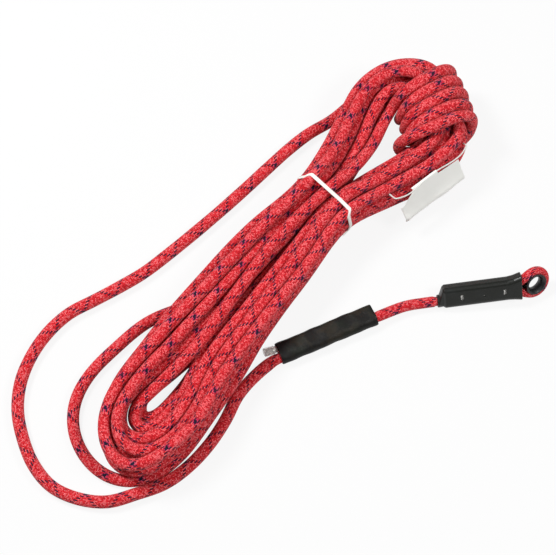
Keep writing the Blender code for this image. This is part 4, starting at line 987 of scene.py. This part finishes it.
# The rope
def fine_route(route, split_at):
    """The settled route as a smooth line: evened out, then moved clear of itself."""
    points = even_points(smooth_curve(route, 8), ROUTE_STEP)
    held = int((split_at + HELD_PAST) / ROUTE_STEP)
    free = np.ones(len(points))
    free[:held] = 0.0
    free[-HELD_END:] = 0.0
    floor = np.full(len(points), HANK_LOW)
    floor[:held] = 0.0
    radii = np.full(len(points) - 1, HANK_D / 2)
    # bends wider than the first gain reaches keep their place, because the second undoes it there
    for _ in range(EVENING_ROUNDS):
        for gain in EVENING_GAINS:
            points = points + gain * toward_neighbours(points) * free[:, None]
    evened = points.copy()
    for step in range(CLEARING_ROUNDS):
        if step % SEARCH_EVERY == 0:
            i, j = near_pairs(points, CLEARING_REACH)
            chosen = (j - i > FAR_ALONG) & (free[i] + free[j] > 0)
            pairs = (i[chosen], j[chosen])
        if step < SPREADING_ROUNDS:
            points = points + SPREADING * toward_neighbours(points - evened) * free[:, None]
        for _ in range(CLEARING_PUSHES):
            push_apart(points, free, pairs, radii, CLEARING_STRENGTH)
            points[:, 2] = np.maximum(points[:, 2], floor)
    return even_points(smooth_curve(points, 3), RING_STEP)


def dressed_rope(route, first_hank):
    split_at = length_along(route[:first_hank + 1])[-1]
    end_direction = unit(route[-1] - route[-2])
    route = np.concatenate([route[:-1], [route[-2] + end_direction * END_STRAIGHT]])
    points = fine_route(route, split_at)
    along = length_along(points)
    pressed = ((split_at + PRESSED_FROM, ROPE_D), (split_at + PRESSED_TO, VISUAL_HANK_D))
    places, thickness = zip(*MOUTH_THICKNESS, *pressed)
    radii = np.interp(along, places, np.array(thickness) / 2)
    radii = radii + UNEVEN * np.sin(along / UNEVEN_LENGTHS[0]) * np.sin(along / UNEVEN_LENGTHS[1])
    made, length = braid_tube("rope", points, radii)
    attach(made, "rope")
    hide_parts("outer_loop_rope", "hank_rope", "head_wraps_rope")
    return made, points


def dressed_pigtail():
    start = in_sleeve(SLEEVE_LENGTH + FIT, ROPE_OFFSET)
    along = direction(SLEEVE_ANGLE)
    neck = at_eye(NECK_X - FIT, -LEG_OFFSET)
    into_eye = eye_axes()[0]
    middle = (start + neck) / 2 + np.array(PIGTAIL_BOW)
    middle[2] = PIGTAIL_D / 2 + PIGTAIL_LIFT
    straight = PIGTAIL_D * PIGTAIL_STRAIGHT
    curve = smooth_curve([start - along * PIGTAIL_IN[0], start + along * straight, middle,
                          neck - into_eye * straight, neck + into_eye * PIGTAIL_IN[1]])
    points = even_points(curve, PIGTAIL_STEP)
    radii = np.full(len(points), PIGTAIL_D / 2)
    radii[:2] = SLEEVE_ROPE_D / 2 - HIDDEN_THINNER
    radii[2] = SLEEVE_ROPE_D / 2
    radii[-2:] = EYE_ROPE_D / 2 - HIDDEN_THINNER
    made, length = braid_tube("pigtail", points, radii, PIGTAIL_BRAID)
    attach(made, "rope")
    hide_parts("pigtail_rope")
    return made


def dressed_eye_rope():
    points = np.array([at_bend(x, y) for x, y, _ in eye_route()])
    fine = even_points(points, EYE_STEP)
    made, _ = braid_tube("eye_loop_rope", fine, np.full(len(fine), EYE_ROPE_D / 2), EYE_BRAID)
    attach(made, "rope")
    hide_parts("eye_rope")
    return made


# The sleeve
def dressed_sleeve():
    """The shrunk tube, drawn in unevenly over the two ropes."""
    pair = [(ROPE_OFFSET, 0.0, SLEEVE_ROPE_D / 2), (TAIL_OFFSET, 0.0, TAIL_D / 2)]
    outer = hull_profile(pair, SLEEVE_PACK + SLEEVE_WALL, SLEEVE_SIDES)
    inner = hull_profile(pair, SLEEVE_PACK, SLEEVE_SIDES)
    rows = []
    for s in np.linspace(0.0, SLEEVE_LENGTH, SLEEVE_RINGS):
        end = min(s, SLEEVE_LENGTH - s)
        drawn = SLEEVE_EDGE_DEPTH * max(0.0, 1.0 - end / SLEEVE_EDGE) ** 2
        ring = []
        for k, (t, h) in enumerate(outer):
            turn = 2 * pi * k / SLEEVE_SIDES
            lump = sum(high * sin(s / long + waves * turn + first)
                       for high, long, waves, first in SLEEVE_LUMPS)
            middle = SLEEVE_MIDDLE * t
            out = (lump - drawn) / hypot(t - middle, h)
            ring.append((t + (t - middle) * out, h + h * out))
        rows.append((s, ring))
    sections = [(SLEEVE_LENGTH, inner)] + rows[::-1] + [(0.0, inner)]
    points = np.array([in_sleeve(s, t, h) for s, ring in sections for t, h in ring])
    points[:, 2] = np.maximum(points[:, 2], 0.0)
    made = new_mesh("shrunk_sleeve", points, ring_faces(len(sections), SLEEVE_SIDES, closed=True))
    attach(made, "rope")
    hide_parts("splice_sleeve")
    return made


# The tag
def dressed_tag(strands):
    """The slip as a thin sheet sewn round the twisted cord that it swings on."""
    start, end, out = hinge_line(strands)
    along = unit(end - start)
    tips = []
    for corner, way in ((start, -1.0), (end, 1.0)):
        knee = corner + along * way * TAG_CORD_BEND - out * TAG_CORD_BEND / 2
        below = knee - out * CORD_TIP + along * way * CORD_TIP
        tips.append([knee, onto_strand(below, strands, TAG_CORD_D / 2 + CORD_GAP)])
    middle = start + (end - start) / 2
    line = even_points(smooth_curve([tips[0][1], tips[0][0], start, middle, end, *tips[1]]), CORD_STEP)
    side, up = carried_frames(line)
    turned = 2 * pi * length_along(line) / PLY_PITCH
    places, faces = [], []
    for ply in (0.0, pi):
        off = np.cos(turned + ply)[:, None] * side + np.sin(turned + ply)[:, None] * up
        helix = line + PLY_RADIUS * off
        ring, sides = tube_rings(helix, np.full(len(helix), PLY_RADIUS), PLY_SIDES)
        faces += [tuple(len(places) + k for k in face) for face in sides]
        places += list(ring)
    cord = new_mesh("twisted_cord", places, faces, 60.0)
    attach(cord, "rope")
    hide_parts("tag_cord")
    float(length_along(line)[-1]) * MM
    return cord, hanging_slip(start, along, out)


def slip_profile():
    """The slip's middle line across the cord: round the cord, then down to its turned-in lower edge."""
    first = radians(TAG_LEAN)
    loop = [(HEM_RADIUS * cos(a), HEM_RADIUS * sin(a))
            for a in np.linspace(first + radians(HEM_AROUND), first, HEM_POINTS)]
    rows = []
    t, h = loop[-1]
    step = SLIP_HEIGHT / SLIP_STEPS
    for k in range(SLIP_STEPS + 1):
        down = k * step
        lean = TAG_LEAN + SLIP_LEAN + TAG_CURL * (down / TAG_WIDTH) ** 1.5
        if down > SLIP_TURN:
            lean -= (lean + SLIP_TURN_BACK) * min(1.0, (down - SLIP_TURN) / (TAG_WIDTH - SLIP_TURN)) ** 0.6
        if down < SLIP_LEAN_FROM:
            lean -= SLIP_LEAN * (1.0 - down / SLIP_LEAN_FROM)
        rows.append((down, t, h))
        t += step * sin(radians(lean))
        h -= step * cos(radians(lean))
    return loop, rows


def slip_edge(s):
    """How far down the slip begins at this place along the cord."""
    if s < HEM_START:
        return SLIP_SHOULDER + SLIP_DROOP[0] * (HEM_START - s) / (HEM_START - SLIP_START)
    if s > HEM_END:
        return SLIP_SHOULDER + SLIP_DROOP[1] * (s - HEM_END) / (SLIP_END - HEM_END)
    return 0.0


def hanging_slip(start, along, out):
    """The slip and its hem as one sheet, given its thickness."""
    loop, rows = slip_profile()
    downs, across, heights = np.array(rows).T

    def place(s, t, h):
        return start + along * s + out * t + np.array([0.0, 0.0, h])

    places, lines, hems = [], [], []
    spots = sorted(set(np.linspace(SLIP_START, SLIP_END, SLIP_COLUMNS).tolist()) | {HEM_START, HEM_END})
    for s in spots:
        lines.append(range(len(places), len(places) + SLIP_ROWS + 1))
        top = slip_edge(s)
        curl = SLIP_END_CURL * (max(0.0, SLIP_START + SLIP_END_CURLED - s) / SLIP_END_CURLED) ** 2
        for k in range(SLIP_ROWS + 1):
            down = top + (downs[-1] - top) * k / SLIP_ROWS
            wave = sum(high * sin(s / long + down / deep + first) * min(1.0, (down / full) ** 2)
                       for high, long, deep, first, full in SLIP_WAVES)
            t = np.interp(down, downs, across) + (wave - curl)
            places.append(place(s, t, np.interp(down, downs, heights)))
    for s, line in zip(spots, lines):
        if HEM_START <= s <= HEM_END:
            hems.append([*range(len(places), len(places) + len(loop) - 1), line[0]])
            places += [place(s, t, h) for t, h in loop[:-1]]
    faces = []
    for group in (lines, hems):
        for left, right in zip(group, group[1:]):
            faces += [(left[k], left[k + 1], right[k + 1], right[k]) for k in range(len(left) - 1)]
    made = new_mesh("tag_slip", places, faces, 50.0)
    thick = made.modifiers.new("thickness", "SOLIDIFY")
    thick.thickness = SLIP_THICKNESS * MM
    thick.offset = 0.0
    graph = bpy.context.evaluated_depsgraph_get()
    solid = bpy.data.meshes.new_from_object(made.evaluated_get(graph))
    made.modifiers.clear()
    made.data = solid
    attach(made, "tag")
    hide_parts("swing_tag")
    return made


# The waist's strap
def waist_strap(points):
    """The tie as a strap that lies on the strands all the way round, its upper side nearer the head."""
    angles = [2 * pi * k / STRAP_SIDES for k in range(STRAP_SIDES)]
    strap_x = [WAIST_X + STRAP_LEAN * max(sin(a), 0.0) ** 4 - STRAP_BACK for a in angles]

    def hull_at(x):
        circles = []
        for a, b in zip(points[:-1], points[1:]):
            if (a[0] - x) * (b[0] - x) > 0 or a[0] == b[0]:
                continue
            y, z = a[1:] + (b[1:] - a[1:]) * ((x - a[0]) / (b[0] - a[0]))
            circles.append((y, z, VISUAL_HANK_D / 2 / max(abs(unit(b - a)[0]), LEAST_CROSSING)))
        return hull_profile(circles, STRAP_GAP, STRAP_SIDES)

    hulls = [hull_at(x)[k] for k, x in enumerate(strap_x)]
    # each section: its place round the strap, how far it is moved along it, its thickness and its width
    strap = (TIE_THICKNESS, TIE_WIDTH)
    head = (TIE_HEAD_HEIGHT, TIE_HEAD_WIDTH)
    sections = [(k, 0.0, *strap) for k in range(TIE_HEAD_FIRST + 1)]
    sections.append((TIE_HEAD_FIRST, TIE_HEAD_STEP, *head))
    sections += [(k, 0.0, *head) for k in range(TIE_HEAD_FIRST + 1, TIE_HEAD_LAST)]
    sections.append((TIE_HEAD_LAST, -TIE_HEAD_STEP, *head))
    sections += [(k, 0.0, *strap) for k in range(TIE_HEAD_LAST, STRAP_SIDES)]
    places = []
    for k, moved, thick, wide in sections:
        c, s = cos(angles[k]), sin(angles[k])
        y = hulls[k][0] - moved * s
        z = hulls[k][1] + moved * c
        edge = min(STRAP_EDGE, thick / 4)
        for x, high in ((-wide / 2, 0.0), (-wide / 2, thick - edge), (edge - wide / 2, thick),
                        (wide / 2 - edge, thick), (wide / 2, thick - edge), (wide / 2, 0.0)):
            places.append((strap_x[k] + x, y + high * c, max(z + high * s, STRAP_LOWEST)))
    made = new_mesh("waist_strap", places, ring_faces(len(sections), 6, closed=True), 50.0)
    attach(made, "rope")
    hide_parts("waist_tie")
    return made


# Camera, floor and light
def camera():
    data = bpy.data.cameras.new("camera")
    data.sensor_width = SENSOR
    data.lens = FOCAL_PIXELS / PHOTO_WIDTH * SENSOR
    data.clip_end = CAMERA_REACH
    made = add_object("camera", data)
    made.location = Vector(CAMERA_PLACE) * MM
    look = Vector(CAMERA_TARGET) * MM - made.location
    made.rotation_euler = look.to_track_quat("-Z", "Y").to_euler()
    bpy.context.scene.camera = made


def floor_and_light():
    data = bpy.data.meshes.new("floor")
    corners = [(x * FLOOR_SIZE, y * FLOOR_SIZE, 0) for x, y in ((-1, -1), (1, -1), (1, 1), (-1, 1))]
    data.from_pydata(corners, [], [(0, 1, 2, 3)])
    ground = add_object("floor", data)
    ground.location.z = -FLOOR_DROP
    n = Nodes("white_ground")
    n.set(Base_Color=(0.7, 0.7, 0.7), Roughness=0.9, Specular_IOR_Level=0.1)
    glow = n.new("ShaderNodeEmission", (1.0, 1.0, 1.0), 1.0)
    rays = n.new("ShaderNodeLightPath").outputs
    seen = n.math("MAXIMUM", rays["Is Camera Ray"], rays["Is Glossy Ray"])
    seen = n.math("MAXIMUM", seen, rays["Is Transmission Ray"])
    blend = n.new("ShaderNodeMixShader", n.times(seen, SEEN_WHITE), n.shader.outputs[0], glow.outputs[0])
    n.value(n.tree.nodes["Material Output"].inputs["Surface"], blend.outputs[0])
    data.materials.append(n.material)

    world = bpy.data.worlds.new("studio")
    bpy.context.scene.world = world
    world.use_nodes = True
    back = world.node_tree.nodes["Background"]
    back.inputs[0].default_value = (1.0, 1.0, 1.0, 1.0)
    back.inputs[1].default_value = WORLD_STRENGTH
    for name, place, power, size in LAMPS:
        light = bpy.data.lights.new(name, "AREA")
        light.energy = power
        light.size = size
        lamp = add_object(name, light)
        lamp.location = place
        lamp.rotation_euler = (-Vector(place)).to_track_quat("-Z", "Y").to_euler()


def paint(node, material):
    """Gives a node of the part its finished material."""
    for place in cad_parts[node].material_slots:
        place.material = material


def main():
    bpy.context.scene.view_settings.view_transform = "Standard"
    camera()
    floor_and_light()
    # light is the painted highlight colour on the braid's crowns
    red_braid = braid_material("red_braid", body=(0.92, 0.012, 0.024), light=(1.0, 0.27, 0.29),
                               tracer=(0.008, 0.006, 0.028))
    route, first_hank, first_wrap = rope_route()
    rope, points = dressed_rope(route, first_hank)
    for piece in (rope, dressed_pigtail(), dressed_eye_rope()):
        piece.data.materials.append(red_braid)
    thread = yarn_material("thread", (0.92, 0.91, 0.88), (0.7, 0.68, 0.64), 900.0, -23.0)
    core = yarn_material("core_yarn", (0.88, 0.87, 0.83), (0.62, 0.6, 0.55), 700.0, 22.0)
    stitching = [f"lock_stitching_{k}" for k in (1, 2, 3)]
    for node in ("tail_whipping_1", "tail_whipping_2", *stitching):
        paint(node, thread)
    for node in ("sleeve_rope_core", "splice_tail", "far_end_core"):
        paint(node, core)
    paint("sleeve_rope_sheath", moulded_material("plain_red", (0.7, 0.03, 0.05), (0.5, 0.02, 0.04), 0.7, 0.4))
    dressed_sleeve().data.materials.append(sleeve_material())
    paint("eye_cover", moulded_material("cover", (0.0065, 0.0075, 0.0055), (0.011, 0.013, 0.012), 0.36, 0.14))
    paint("eye_thimble", moulded_material("thimble", (0.008, 0.008, 0.009), (0.02, 0.02, 0.022), 0.4, 0.15))
    paint("tail_end_cap", clear_material("clear_cap", (0.97, 0.96, 0.95), 0.8))
    paint("far_end_cap", clear_material("end_cap", (0.85, 0.84, 0.8), 0.5))
    strap = waist_strap(points[len(points) // FREE_PART:])
    strap.data.materials.append(moulded_material("strap", (0.86, 0.86, 0.82), (0.78, 0.77, 0.72), 0.45, 0.15))
    cord, slip = dressed_tag(route[first_hank:first_wrap])
    cord.data.materials.append(thread)
    slip.data.materials.clear()
    slip.data.materials.append(slip_material())


main()
